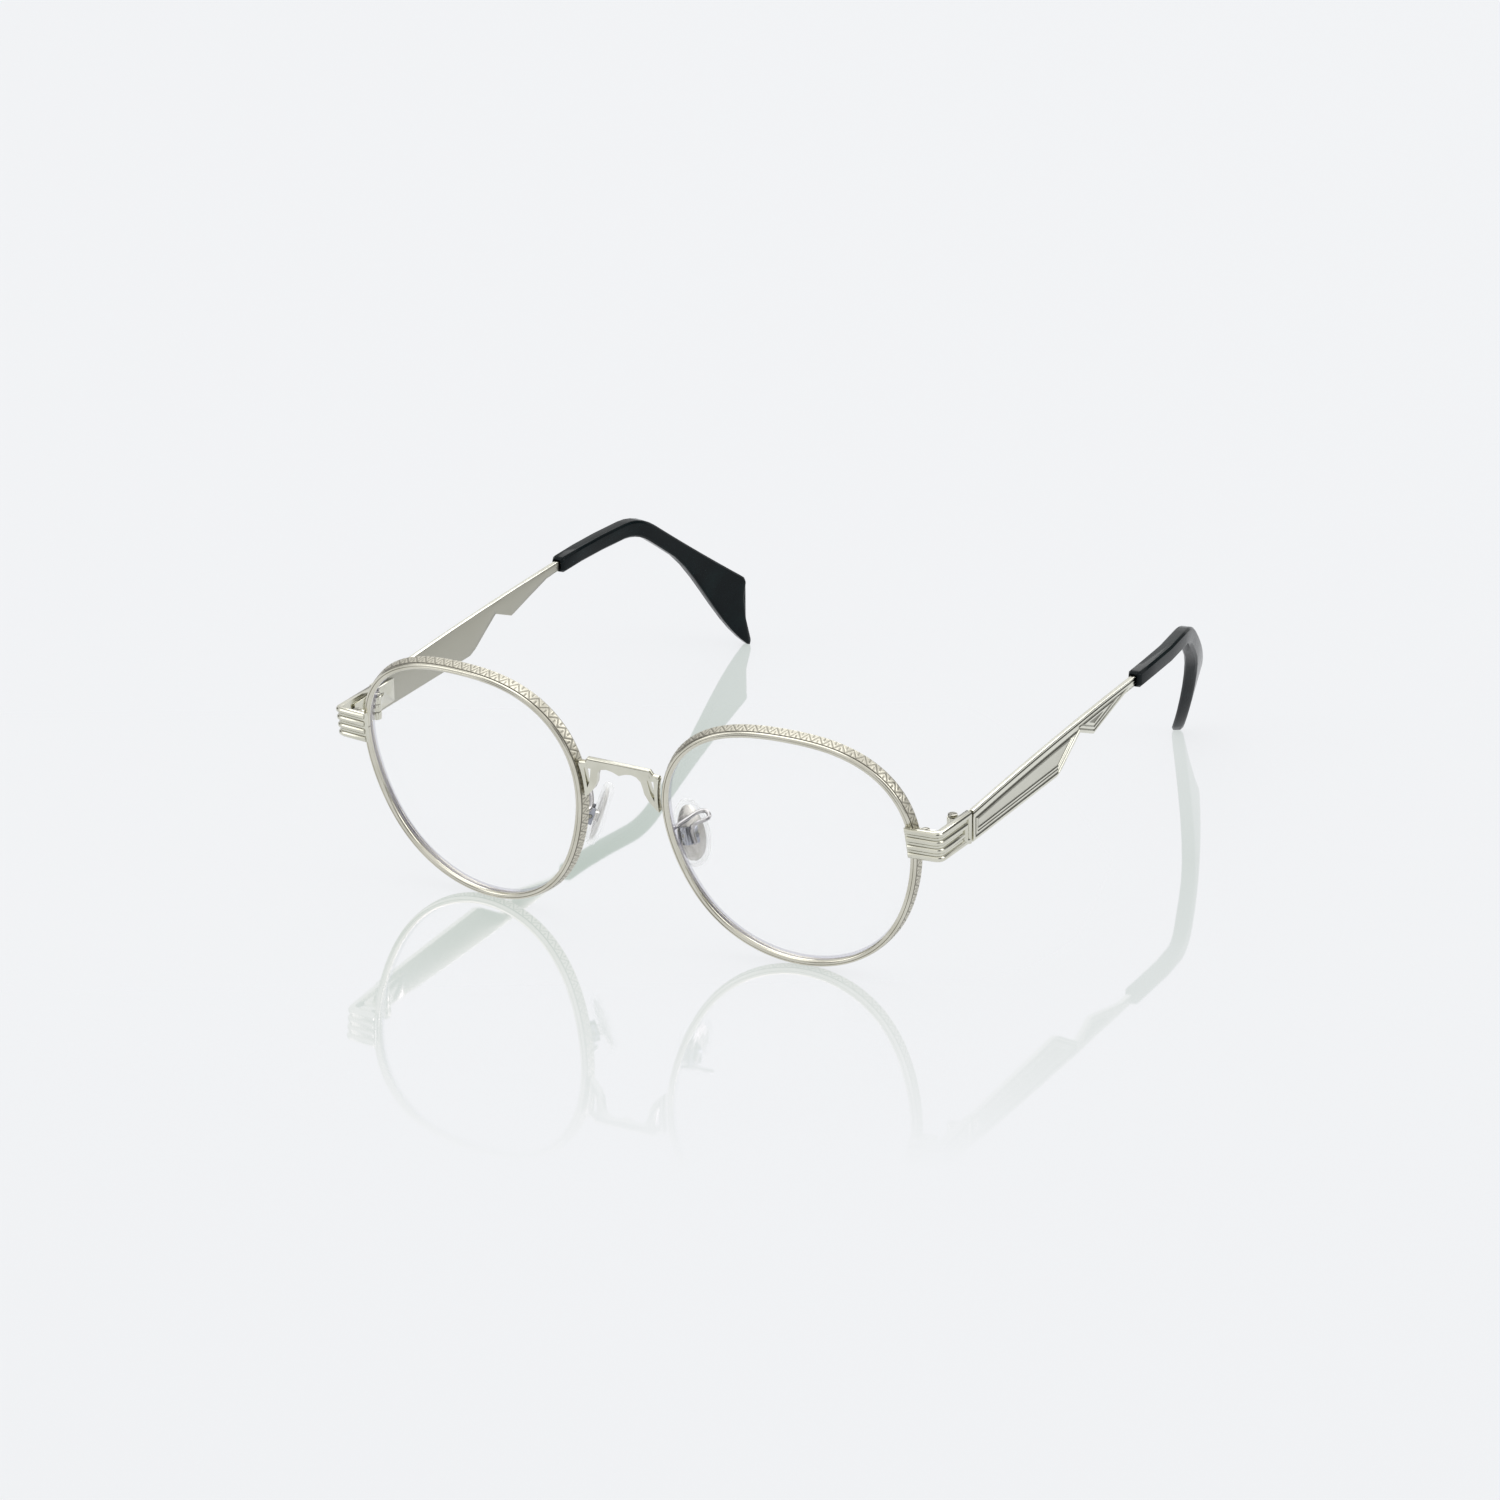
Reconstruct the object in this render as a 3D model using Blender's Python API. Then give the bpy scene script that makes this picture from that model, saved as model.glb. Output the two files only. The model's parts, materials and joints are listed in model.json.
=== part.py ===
"""Round metal spectacles with folding temples, screwed rims and rocking nose pads.

The wearer's left is +X, the wearer looks along -Y, +Z is up and the table is at zero height.
The frame stands open on its two rims and the heels of its two temple tips. The origin lies on the
table under the middle of the whole.
"""

import math

import bmesh
import bpy
from mathutils import Matrix, Vector

MM = 0.001

# Rims and lenses
RIM_RADIUS = 24.6 * MM
RIM_PANTO = 0.042
RIM_SQUARENESS = 0.0174
RIM_LEAN = 0.0112
RIM_OVAL = 0.0041
RIM_DEPTH = 2.6 * MM
LIP_WIDTH = 1.4 * MM
LIP_DEPTH = 0.9 * MM
LIP_ROUND = 0.35 * MM
BAND_WIDTH = 1.33 * MM
REAR_LIP_INSET = 0.45 * MM
GROOVE_DEPTH = 0.85 * MM
RIM_SPLIT = 0.15 * MM
LENS_GAP = 18.2 * MM
LENS_BEVEL = 0.55 * MM
LENS_CROWN = 2.4 * MM
FRONT_TILT = math.radians(9.3)
FRONT_WRAP = math.radians(6.3)
RIM_STEPS = 72

# Fits
SEAT_GAP = 0.1 * MM
SEAM_GAP = 0.3 * MM
PIN_CLEARANCE = 0.06 * MM

# End pieces
END_REACH = 5.4 * MM
HINGE_RISE = 5.1 * MM
END_HEIGHT = 6.3 * MM
END_WALL = 0.85 * MM
END_OVERLAP = 0.2 * MM
END_FALL = 0.045
END_CORNER = 2.0 * MM
END_SEAM_Y = 14.0 * MM
RIB_WIDTH = 1.2 * MM
RIB_PROUD = 0.5 * MM
RIB_BED = 0.15 * MM
RIB_MARGIN = 0.05 * MM
RIB_GROOVE = 0.35 * MM
REED_START = 0.02

# Closing blocks
BLOCK_LOW = 2.2 * MM
BLOCK_HIGH = 7.4 * MM
BLOCK_SPLIT = 5.3 * MM
BLOCK_REACH = 3.0 * MM
BLOCK_DEPTH = 2.4 * MM
CLOSING_SCREW_OUT = 1.5 * MM
CLOSING_SCREW_RADIUS = 0.5 * MM
SCREW_HEAD_HEIGHT = 0.5 * MM
SCREW_HEAD_SPREAD = 0.4 * MM
SCREW_SLOT = 0.25 * MM

# Hinges
HINGE_INSET = 3.0 * MM
HINGE_Y = 11.6 * MM
KNUCKLE_RADIUS = 1.1 * MM
KNUCKLE_HEIGHT = 1.5 * MM
KNUCKLE_GAP = 0.1 * MM
HINGE_SCREW_RADIUS = 0.5 * MM
LEAF_THICKNESS = 0.3 * MM
LEAF_LENGTH = 5.6 * MM

# Bridge
BRIDGE_BAR_RADIUS = 0.65 * MM
BRIDGE_BAR_HEIGHT = 11.0 * MM
BRIDGE_STEP = 0.9 * MM
BRIDGE_BEND_X = 6.3 * MM
BRIDGE_ARM_FOOT = 2.8 * MM
BRIDGE_LEG_X = 7.1 * MM
BRIDGE_LEG_RISE = 0.7 * MM
BRIDGE_ARCH_X = 4.9 * MM
BRIDGE_ARCH_GAP = 1.05 * MM
BRIDGE_SHOULDER = 2.25 * MM
BRIDGE_DIP = 0.8 * MM
BRIDGE_WEB = 1.1 * MM
BRIDGE_WINDOW_RISE = 2.2 * MM
BRIDGE_WINDOW_BEND = 1.6 * MM
BRIDGE_PLATE = 1.3 * MM
BRIDGE_STRIP = 1.0 * MM
BRIDGE_DEPTH = 1.4 * MM

# Nose pads
PAD_X = 9.7 * MM
PAD_SETBACK = 6.0 * MM
PAD_DROP = 4.3 * MM
PAD_SPLAY = math.radians(29.6)
PAD_FLARE = math.radians(18.5)
PAD_LEAN = math.radians(5.0)
PAD_LENGTH = 13.2 * MM
PAD_WIDTH = 7.9 * MM
PAD_FRONT = 1.25 * MM
PAD_BACK = 1.0 * MM
CORE_LENGTH = 10.8 * MM
CORE_WIDTH = 5.9 * MM
CORE_THICKNESS = 0.4 * MM
LUG_SHIFT = 1.5 * MM
LUG_WIDTH = 1.5 * MM
LUG_RADIUS = 0.85 * MM
LUG_DROP = 2.05 * MM
PAD_SCREW_RADIUS = 0.35 * MM
BOX_WALL = 0.45 * MM
BOX_HALF = 1.7 * MM
PAD_WIRE_RADIUS = 0.45 * MM
ARM_SEAT_ANGLE = math.radians(184)

# Temples
TEMPLE_THICKNESS = 1.0 * MM
TEMPLE_LENGTH = 85.4 * MM
TEMPLE_LEAN = 0.0125
TEMPLE_BOW = 0.5 * MM
WING_Y = 50.9 * MM
WING_DROP = 4.3 * MM
NOTCH_Y = 59.5 * MM
NOTCH_RISE = 0.95 * MM
STEP_Y = 66.2 * MM
STEP_DROP = 1.65 * MM
NECK_RUN = 6.0 * MM
PANEL_MARGIN = 1.0 * MM
PANEL_TOP = 1.75 * MM
PANEL_APEX = 1.9 * MM
GROOVE_WIDTH = 0.35 * MM
GROOVE_CUT = 0.35 * MM
FIELD_LEAD = 1.8 * MM
FIELD_RAIL = 0.15 * MM
FIELD_APEX_RAIL = 1.1 * MM
FIELD_APEX_BACK = 2.5 * MM
FIELD_FOOT = 2.65 * MM
FIELD_SINK = 0.3 * MM
WING_PANEL_TOP = 1.35 * MM
WING_PANEL_FOOT = 1.55 * MM
WING_EYE_INSET = 0.85 * MM
WING_GROOVE_WIDTH = 0.25 * MM
WING_LIP = 0.9 * MM
CORE_BAR_HEIGHT = 1.8 * MM
CORE_BAR_THICKNESS = 1.0 * MM
CORE_BAR_REACH = 0.6
CORE_ROOM_REACH = 0.605

# Temple tips
TIP_LAP = 1.0 * MM
TIP_RISE = 3.85 * MM
TIP_BEND_RUN = 22.0 * MM
TIP_BEND_RADIUS = 14.4 * MM
TIP_BEND_ANGLE = math.radians(38.5)
TIP_HEIGHT = 3.25 * MM
TIP_BEND_HEIGHT = 3.45 * MM
TIP_HEEL_HEIGHT = 12.3 * MM
TIP_HEEL_LEAD = 7.4 * MM
TIP_FLARE_START = 0.19
TIP_THICKNESS = 2.8 * MM
TIP_HEEL_THICKNESS = 2.3 * MM
TIP_CHAMFER = 0.45 * MM
TIP_DENT = 1.75 * MM
TOE_TOP_ROUND = 1.0 * MM
TOE_LOW_RUN = 1.6 * MM
TOE_LOW_ROUND = 2.0 * MM
TOE_SINK = 1.03 * MM
TIP_TURN_IN = 11.0 * MM
TIP_TURN_LENGTH = 53.0 * MM
TIP_TURN_START_LEFT = 11.4 * MM
TIP_TURN_START_RIGHT = 0.0 * MM

LEFT = 1
RIGHT = -1
SIDE_NAMES = {LEFT: "left", RIGHT: "right"}


def clear_scene():
    """Remove every object that the start-up scene holds."""
    for old in list(bpy.data.objects):
        bpy.data.objects.remove(old, do_unlink=True)


def ease(value):
    """Rise from 0 to 1 with a level start and end."""
    value = min(max(value, 0.0), 1.0)
    return value * value * (3.0 - 2.0 * value)


def make_material(name, colour, roughness, metallic, alpha=1.0, transmission=0.0):
    """Return a Principled material."""
    material = bpy.data.materials.new(name)
    material.use_nodes = True
    shader = material.node_tree.nodes["Principled BSDF"]
    shader.inputs["Base Color"].default_value = (*colour, 1.0)
    shader.inputs["Roughness"].default_value = roughness
    shader.inputs["Metallic"].default_value = metallic
    shader.inputs["Alpha"].default_value = alpha
    shader.inputs["Transmission Weight"].default_value = transmission
    return material


def mesh_object(name, shape, material, frame=None, smooth_angle=35.0):
    """Turn a bmesh into a named object, and set its place by location and rotation."""
    bmesh.ops.remove_doubles(shape, verts=shape.verts, dist=1e-7)
    bmesh.ops.recalc_face_normals(shape, faces=shape.faces)
    mesh = bpy.data.meshes.new(name)
    shape.to_mesh(mesh)
    shape.free()
    mesh.shade_smooth()
    mesh.set_sharp_from_angle(angle=math.radians(smooth_angle))
    mesh.materials.append(material)
    piece = bpy.data.objects.new(name, mesh)
    bpy.context.scene.collection.objects.link(piece)
    if frame is not None:
        piece.location = frame.to_translation()
        piece.rotation_euler = frame.to_euler()
    return piece


def as_cutter(cutter):
    """Mark an object as a guide that the finished model leaves out."""
    cutter.hide_render = True
    cutter.display_type = "WIRE"
    return cutter


def boolean(piece, operand, operation):
    """Add an exact Boolean modifier."""
    modifier = piece.modifiers.new(operation.lower() + "_" + operand.name, "BOOLEAN")
    modifier.operation = operation
    modifier.solver = "EXACT"
    modifier.object = as_cutter(operand)
    return modifier


def loft(rings, closed=False):
    """Skin a list of equal rings of points, with flat ends unless the loft closes on itself."""
    shape = bmesh.new()
    loops = [[shape.verts.new(point) for point in ring] for ring in rings]
    count = len(loops[0])
    pairs = list(zip(loops, loops[1:]))
    if closed:
        pairs.append((loops[-1], loops[0]))
    for first, second in pairs:
        for index in range(count):
            following = (index + 1) % count
            shape.faces.new((first[index], first[following], second[following], second[index]))
    if not closed:
        shape.faces.new(loops[0])
        shape.faces.new(list(reversed(loops[-1])))
    return shape


def prism(outline, low, high, place):
    """Extrude a flat outline between two levels, with place giving each point its position."""
    return loft([[place(a, b, level) for a, b in outline] for level in (low, high)])


def box(low, high):
    """Return a box between two corners."""
    shape = bmesh.new()
    bmesh.ops.create_cube(shape, size=1.0)
    middle = (Vector(low) + Vector(high)) / 2
    size = Vector(high) - Vector(low)
    for vertex in shape.verts:
        vertex.co = middle + Vector(c * s for c, s in zip(vertex.co, size))
    return shape


def round_bar(start, end, radius, sides=20):
    """Return a cylinder between two points."""
    start, end = Vector(start), Vector(end)
    shape = bmesh.new()
    bmesh.ops.create_cone(
        shape, cap_ends=True, segments=sides, radius1=radius, radius2=radius, depth=(end - start).length
    )
    turn = (end - start).to_track_quat("Z", "Y").to_matrix().to_4x4()
    bmesh.ops.transform(shape, matrix=Matrix.Translation((start + end) / 2) @ turn, verts=shape.verts)
    return shape


def tube(points, radius, sides=12):
    """Sweep a circle along points that lie in a plane of constant second coordinate."""
    rings = []
    for index, point in enumerate(points):
        before = points[max(index - 1, 0)]
        after = points[min(index + 1, len(points) - 1)]
        way_in = (point - before).normalized() if index else (after - point).normalized()
        way_out = (after - point).normalized() if index < len(points) - 1 else way_in
        along = (way_in + way_out).normalized()
        across = along.cross(Vector((0, 1, 0))).normalized()
        stretch = 1.0 / max(along.dot(way_in), 0.3)
        ring = []
        for step in range(sides):
            turn = 2 * math.pi * step / sides
            ring.append(point + across * math.cos(turn) * radius * stretch
                        + Vector((0, 1, 0)) * math.sin(turn) * radius)
        rings.append(ring)
    return loft(rings)


def slotted_screw(name, material, foot, neck, radius, frame=None):
    """Make a screw whose shank runs from foot to neck and whose slotted head stands past the neck."""
    foot, neck = Vector(foot), Vector(neck)
    way = (neck - foot).normalized()
    top = neck + way * SCREW_HEAD_HEIGHT
    shank = round_bar(foot, neck + way * SCREW_HEAD_HEIGHT / 2, radius, 16)
    screw = mesh_object(name, shank, material, frame)
    head = mesh_object(name + "_head", round_bar(neck, top, radius + SCREW_HEAD_SPREAD, 20), material, frame)
    boolean(screw, head, "UNION")
    side = way.orthogonal().normalized()
    turn = Matrix((side, way.cross(side), way)).transposed().to_4x4()
    reach = radius + 2 * SCREW_HEAD_SPREAD
    slot_shape = box((-reach, -SCREW_SLOT / 2, -SCREW_SLOT), (reach, SCREW_SLOT / 2, SCREW_SLOT))
    bmesh.ops.transform(slot_shape, matrix=Matrix.Translation(top) @ turn, verts=slot_shape.verts)
    slot = mesh_object(name + "_slot", slot_shape, material, frame)
    boolean(screw, slot, "DIFFERENCE")
    return screw


# The rim's outline, seen from the front, with angle 0 at the temple and a quarter turn at the top
def outline_radius(angle):
    """Return the distance from the lens centre to the rim's inner lip."""
    panto = RIM_PANTO * math.sin(3 * angle)
    square = RIM_SQUARENESS * math.cos(4 * angle)
    lean = RIM_LEAN * math.sin(2 * angle)
    oval = RIM_OVAL * math.cos(2 * angle)
    return RIM_RADIUS * (1.0 + panto - square - lean - oval)


def outline_point(angle, offset=0.0):
    """Return a point that lies an offset outside the inner lip, as temple-ward and upward distances."""
    step = 0.001
    ahead, behind = [
        Vector((outline_radius(a) * math.cos(a), outline_radius(a) * math.sin(a)))
        for a in (angle + step, angle - step)
    ]
    along = (ahead - behind).normalized()
    radius = outline_radius(angle)
    x = radius * math.cos(angle) + along.y * offset
    z = radius * math.sin(angle) - along.x * offset
    return x, z


def outline_angle(height, offset, start):
    """Return the angle near start at which the offset outline has a given height."""
    low, high = start - 0.6, start + 0.6
    rising = outline_point(high, offset)[1] > outline_point(low, offset)[1]
    for _ in range(40):
        middle = (low + high) / 2
        if (outline_point(middle, offset)[1] < height) == rising:
            low = middle
        else:
            high = middle
    return (low + high) / 2


NOSE_REACH = -min(outline_point(math.radians(a), LENS_BEVEL)[0] for a in range(150, 210))
RIM_CENTRE_X = LENS_GAP / 2 + NOSE_REACH * math.cos(FRONT_WRAP)
RIM_DROP = -min(outline_point(math.radians(a), LIP_WIDTH)[1] for a in range(240, 300))
RIM_CENTRE_Z = RIM_DROP * math.cos(FRONT_TILT) - LIP_ROUND * math.sin(FRONT_TILT)
HINGE_Z = RIM_CENTRE_Z + HINGE_RISE
SIDE_X = RIM_CENTRE_X + outline_point(outline_angle(HINGE_RISE, LIP_WIDTH, 0.2), LIP_WIDTH)[0] + END_REACH
HINGE_X = SIDE_X - HINGE_INSET
WALL_OUT_X = SIDE_X - RIB_PROUD
WALL_IN_X = WALL_OUT_X - END_WALL
NECK_Y = TEMPLE_LENGTH - NECK_RUN
TIP_START_Y = TEMPLE_LENGTH - TIP_LAP
TIP_BEND_Y = TIP_START_Y + TIP_BEND_RUN


def rim_frame(side):
    """Return the rim's frame: X to the side, Y backwards through the lens, Z up along it."""
    centre = Matrix.Translation((side * RIM_CENTRE_X, 0.0, RIM_CENTRE_Z))
    wrap = Matrix.Rotation(side * FRONT_WRAP, 4, "Z")
    tilt = Matrix.Rotation(FRONT_TILT, 4, "X")
    return centre @ wrap @ tilt


def rim_section():
    """Return the rim wire's section as offsets outside the inner lip and depths behind its front."""
    lip, deep, band = LIP_WIDTH, LIP_DEPTH, BAND_WIDTH
    middle = (deep + RIM_DEPTH) / 2
    return [
        (0.0, LIP_ROUND), (0.3 * MM, 0.0), (lip - 0.4 * MM, 0.0), (lip, LIP_ROUND),
        (lip, deep - 0.2 * MM), (band - 0.18 * MM, deep), (band, deep + 0.15 * MM),
        (band, RIM_DEPTH - 0.25 * MM), (band - 0.2 * MM, RIM_DEPTH), (REAR_LIP_INSET + 0.1 * MM, RIM_DEPTH),
        (REAR_LIP_INSET, RIM_DEPTH - 0.15 * MM), (REAR_LIP_INSET, middle + 0.35 * MM),
        (GROOVE_DEPTH, middle), (0.0, deep + 0.1 * MM),
    ]


def make_rim(side, material):
    """Sweep the rim wire round the lens, from one side of the closing split to the other."""
    split_angle = outline_angle(BLOCK_SPLIT, 0.0, 0.2)
    half_gap = RIM_SPLIT / 2 / RIM_RADIUS
    span = 2 * math.pi - 2 * half_gap
    rings = []
    for step in range(RIM_STEPS + 1):
        angle = split_angle + half_gap + span * step / RIM_STEPS
        ring = []
        for offset, depth in rim_section():
            x, z = outline_point(angle, offset)
            ring.append(Vector((side * x, depth, z)))
        rings.append(ring)
    return mesh_object("rim_" + SIDE_NAMES[side], loft(rings), material, rim_frame(side))


def make_lens(side, material):
    """Turn the lens out of rings of the same outline, crowned to the front and bevelled at its edge."""
    front = LIP_DEPTH + SEAT_GAP + 0.05 * MM
    middle = (LIP_DEPTH + RIM_DEPTH) / 2
    back = 2 * middle - front - 0.25 * MM
    inner = -0.1 * MM
    profile = []
    for share in (0.0, 0.4, 0.75):
        profile.append((share, 0.0, front - LENS_CROWN * (1 - share * share)))
    profile += [(1.0, inner, front), (1.0, LENS_BEVEL, middle), (1.0, inner, back)]
    for share in (0.75, 0.4, 0.0):
        profile.append((share, 0.0, back - LENS_CROWN * (1 - share * share)))
    shape = bmesh.new()
    loops = []
    for share, offset, depth in profile:
        if share == 0.0:
            loops.append([shape.verts.new((0.0, depth, 0.0))])
            continue
        loop = []
        for step in range(RIM_STEPS):
            x, z = outline_point(2 * math.pi * step / RIM_STEPS, offset)
            loop.append(shape.verts.new((side * x * share, depth, z * share)))
        loops.append(loop)
    for first, second in zip(loops, loops[1:]):
        for step in range(RIM_STEPS):
            following = (step + 1) % RIM_STEPS
            if len(first) == 1:
                shape.faces.new((first[0], second[following], second[step]))
            elif len(second) == 1:
                shape.faces.new((first[step], first[following], second[0]))
            else:
                shape.faces.new((first[step], first[following], second[following], second[step]))
    return mesh_object("lens_" + SIDE_NAMES[side], shape, material, rim_frame(side))


# The end piece follows a plan line: along the tilted front, round a corner and back to the seam
def wrap_point(side, station, height, proud):
    """Return a point on the end piece's wrapped face.

    station is ("front", share of the run), ("corner", share of the turn) or ("side", distance
    back). height is above the lens centre, and proud is the distance outside the bare wall.
    """
    kind, value = station
    setback = (-(SEAT_GAP + END_WALL + proud)) / math.cos(FRONT_TILT) - height * math.tan(FRONT_TILT)
    along = Vector((math.cos(FRONT_WRAP), math.sin(FRONT_WRAP)))
    outward = Vector((math.sin(FRONT_WRAP), -math.cos(FRONT_WRAP)))
    base = Vector((RIM_CENTRE_X, 0.0)) - outward * setback
    wall_x = WALL_OUT_X + proud
    radius = END_CORNER - RIB_PROUD + proud
    centre_x = wall_x - radius
    reach = (centre_x - (base.x - outward.x * radius)) / along.x
    centre = base - outward * radius + along * reach
    if kind == "front":
        edge = outline_point(outline_angle(height, 0.0, 0.2), 0.0)[0] - END_OVERLAP
        plan = (base + along * edge).lerp(centre + outward * radius, value)
    elif kind == "corner":
        turn = -math.pi / 2 + FRONT_WRAP + value * (math.pi / 2 - FRONT_WRAP)
        plan = centre + Vector((math.cos(turn), math.sin(turn))) * radius
    else:
        plan = Vector((wall_x, value))
    return Vector((side * plan.x, plan.y, RIM_CENTRE_Z + height + (HINGE_Y - plan.y) * END_FALL))


WALL_STATIONS = [("front", 0.0), ("front", 1.0)] + [("corner", step / 5) for step in range(1, 6)]
REED_STATIONS = [("front", REED_START), ("front", 1 - REED_START)]
REED_STATIONS += [("corner", (step + 0.5) / 5) for step in range(5)]


def wrap_rib(side, edges, material, name):
    """Raise a rounded rib between two edge lines, each a list of stations with heights."""
    crown = [(0.0, -RIB_BED), (0.08, 0.45 * RIB_PROUD), (0.3, 0.9 * RIB_PROUD), (0.5, RIB_PROUD),
             (0.7, 0.9 * RIB_PROUD), (0.92, 0.45 * RIB_PROUD), (1.0, -RIB_BED)]
    rings = []
    for (upper_station, upper_height), (lower_station, lower_height) in edges:
        ring = []
        for share, proud in crown:
            value = upper_station[1] + (lower_station[1] - upper_station[1]) * share
            height = upper_height + (lower_height - upper_height) * share
            ring.append(wrap_point(side, (upper_station[0], value), height, proud))
        rings.append(ring)
    return mesh_object(name, loft(rings), material)


def level_run(height, last):
    """Return the edge pairs of a level rib."""
    half = RIB_WIDTH / 2
    stations = REED_STATIONS + [("side", last)]
    return [((station, height + half), (station, height - half)) for station in stations]


def turned_run(height, column, foot):
    """Return the edge pairs of a rib that runs level, then turns down a column to its foot."""
    half = RIB_WIDTH / 2
    edges = [((station, height + half), (station, height - half))
             for station in REED_STATIONS]
    edges.append(((("side", column + half), height + half), (("side", column - half), height - half)))
    edges.append(((("side", column + half), foot), (("side", column - half), foot)))
    return edges


def make_end_piece(side, material):
    """Make the reeded end piece: a bent wall with four reeds that turn into a square key."""
    name = "end_piece_" + SIDE_NAMES[side]
    low = HINGE_RISE - END_HEIGHT / 2
    high = HINGE_RISE + END_HEIGHT / 2
    rings = []
    for station in WALL_STATIONS + [("side", END_SEAM_Y)]:
        rings.append([wrap_point(side, station, height, proud)
                      for height, proud in ((low, 0), (high, 0), (high, -END_WALL), (low, -END_WALL))])
    piece = mesh_object(name, loft(rings), material)
    half = RIB_WIDTH / 2
    pitch = (END_HEIGHT - 2 * RIB_MARGIN - RIB_WIDTH) / 3
    rows = [high - RIB_MARGIN - half - pitch * row for row in range(4)]
    outer_column = END_SEAM_Y - RIB_MARGIN - half
    inner_column = outer_column - RIB_WIDTH - RIB_GROOVE
    third_end = inner_column - half - RIB_GROOVE
    runs = [
        turned_run(rows[0], outer_column, low + RIB_MARGIN),
        turned_run(rows[1], inner_column, rows[3] + half / 4),
        level_run(rows[2], third_end),
        level_run(rows[3], outer_column - half / 4),
    ]
    for number, edges in enumerate(runs, 1):
        boolean(piece, wrap_rib(side, edges, material, "%s_reed_%d" % (name, number)), "UNION")
    return piece


def make_closing_block(side, upper, material):
    """Make one half of the block that closes the rim behind the end piece."""
    name = "closing_block_%s_%s" % ("upper" if upper else "lower", SIDE_NAMES[side])
    low = BLOCK_SPLIT + RIM_SPLIT / 2 if upper else BLOCK_LOW
    high = BLOCK_HIGH if upper else BLOCK_SPLIT - RIM_SPLIT / 2
    seat = BAND_WIDTH + SEAT_GAP
    steps = 4
    outline = []
    for step in range(steps + 1):
        height = low + (high - low) * step / steps
        x, _ = outline_point(outline_angle(height, seat, 0.2), seat)
        outline.append((x, height))
    reach = outline_point(outline_angle(BLOCK_SPLIT, BAND_WIDTH, 0.2), BAND_WIDTH)[0] + BLOCK_REACH
    outline += [(reach, high), (reach, low)]
    shape = prism(outline, 0.0, BLOCK_DEPTH, lambda a, b, level: Vector((side * a, level, b)))
    block = mesh_object(name, shape, material, rim_frame(side))
    foot, neck = closing_screw_line(side)
    bore = round_bar(foot - Vector((0, 0, SEAT_GAP)), neck + Vector((0, 0, SEAT_GAP)),
                     CLOSING_SCREW_RADIUS + PIN_CLEARANCE, 16)
    boolean(block, mesh_object(name + "_bore", bore, material, rim_frame(side)), "DIFFERENCE")
    return block


def closing_screw_line(side):
    """Return the foot and neck of the closing screw in the rim's frame."""
    edge = outline_point(outline_angle(BLOCK_SPLIT, BAND_WIDTH, 0.2), BAND_WIDTH)[0]
    x = side * (edge + CLOSING_SCREW_OUT)
    foot = Vector((x, BLOCK_DEPTH / 2, BLOCK_LOW + 0.5 * MM))
    neck = Vector((x, BLOCK_DEPTH / 2, BLOCK_HIGH + SEAT_GAP / 2))
    return foot, neck


def make_closing_screw(side, material):
    """Make the screw that pulls the two halves of the closing block together."""
    foot, neck = closing_screw_line(side)
    name = "closing_screw_" + SIDE_NAMES[side]
    return slotted_screw(name, material, foot, neck, CLOSING_SCREW_RADIUS, rim_frame(side))


def rim_edge_x(height, clearance):
    """Return how far from the middle plane the rim's nose side lies at a height, less a clearance."""
    offset = LIP_WIDTH + clearance
    out, _ = outline_point(outline_angle(height, offset, math.pi), offset)
    return RIM_CENTRE_X + out * math.cos(FRONT_WRAP) - RIM_DEPTH * math.sin(FRONT_WRAP)


def bridge_arch():
    """Return the arch's underside from its foot to the middle: a leg, a shoulder and a dipped crest."""
    low = BRIDGE_ARM_FOOT + BRIDGE_LEG_RISE
    crest = BRIDGE_BAR_HEIGHT - BRIDGE_ARCH_GAP
    spring = crest - BRIDGE_SHOULDER
    points = []
    for step in range(3):
        share = 1 - step / 3
        points.append((BRIDGE_ARCH_X + (BRIDGE_LEG_X - BRIDGE_ARCH_X) * share ** 2,
                       spring + (low - spring) * share))
    centre = BRIDGE_ARCH_X - BRIDGE_SHOULDER
    for step in range(4):
        turn = math.pi / 2 * step / 3
        points.append((centre + BRIDGE_SHOULDER * math.cos(turn), spring + BRIDGE_SHOULDER * math.sin(turn)))
    points.append((centre / 2, crest - BRIDGE_DIP * 0.3))
    points.append((0.0, crest - BRIDGE_DIP))
    return points


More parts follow.
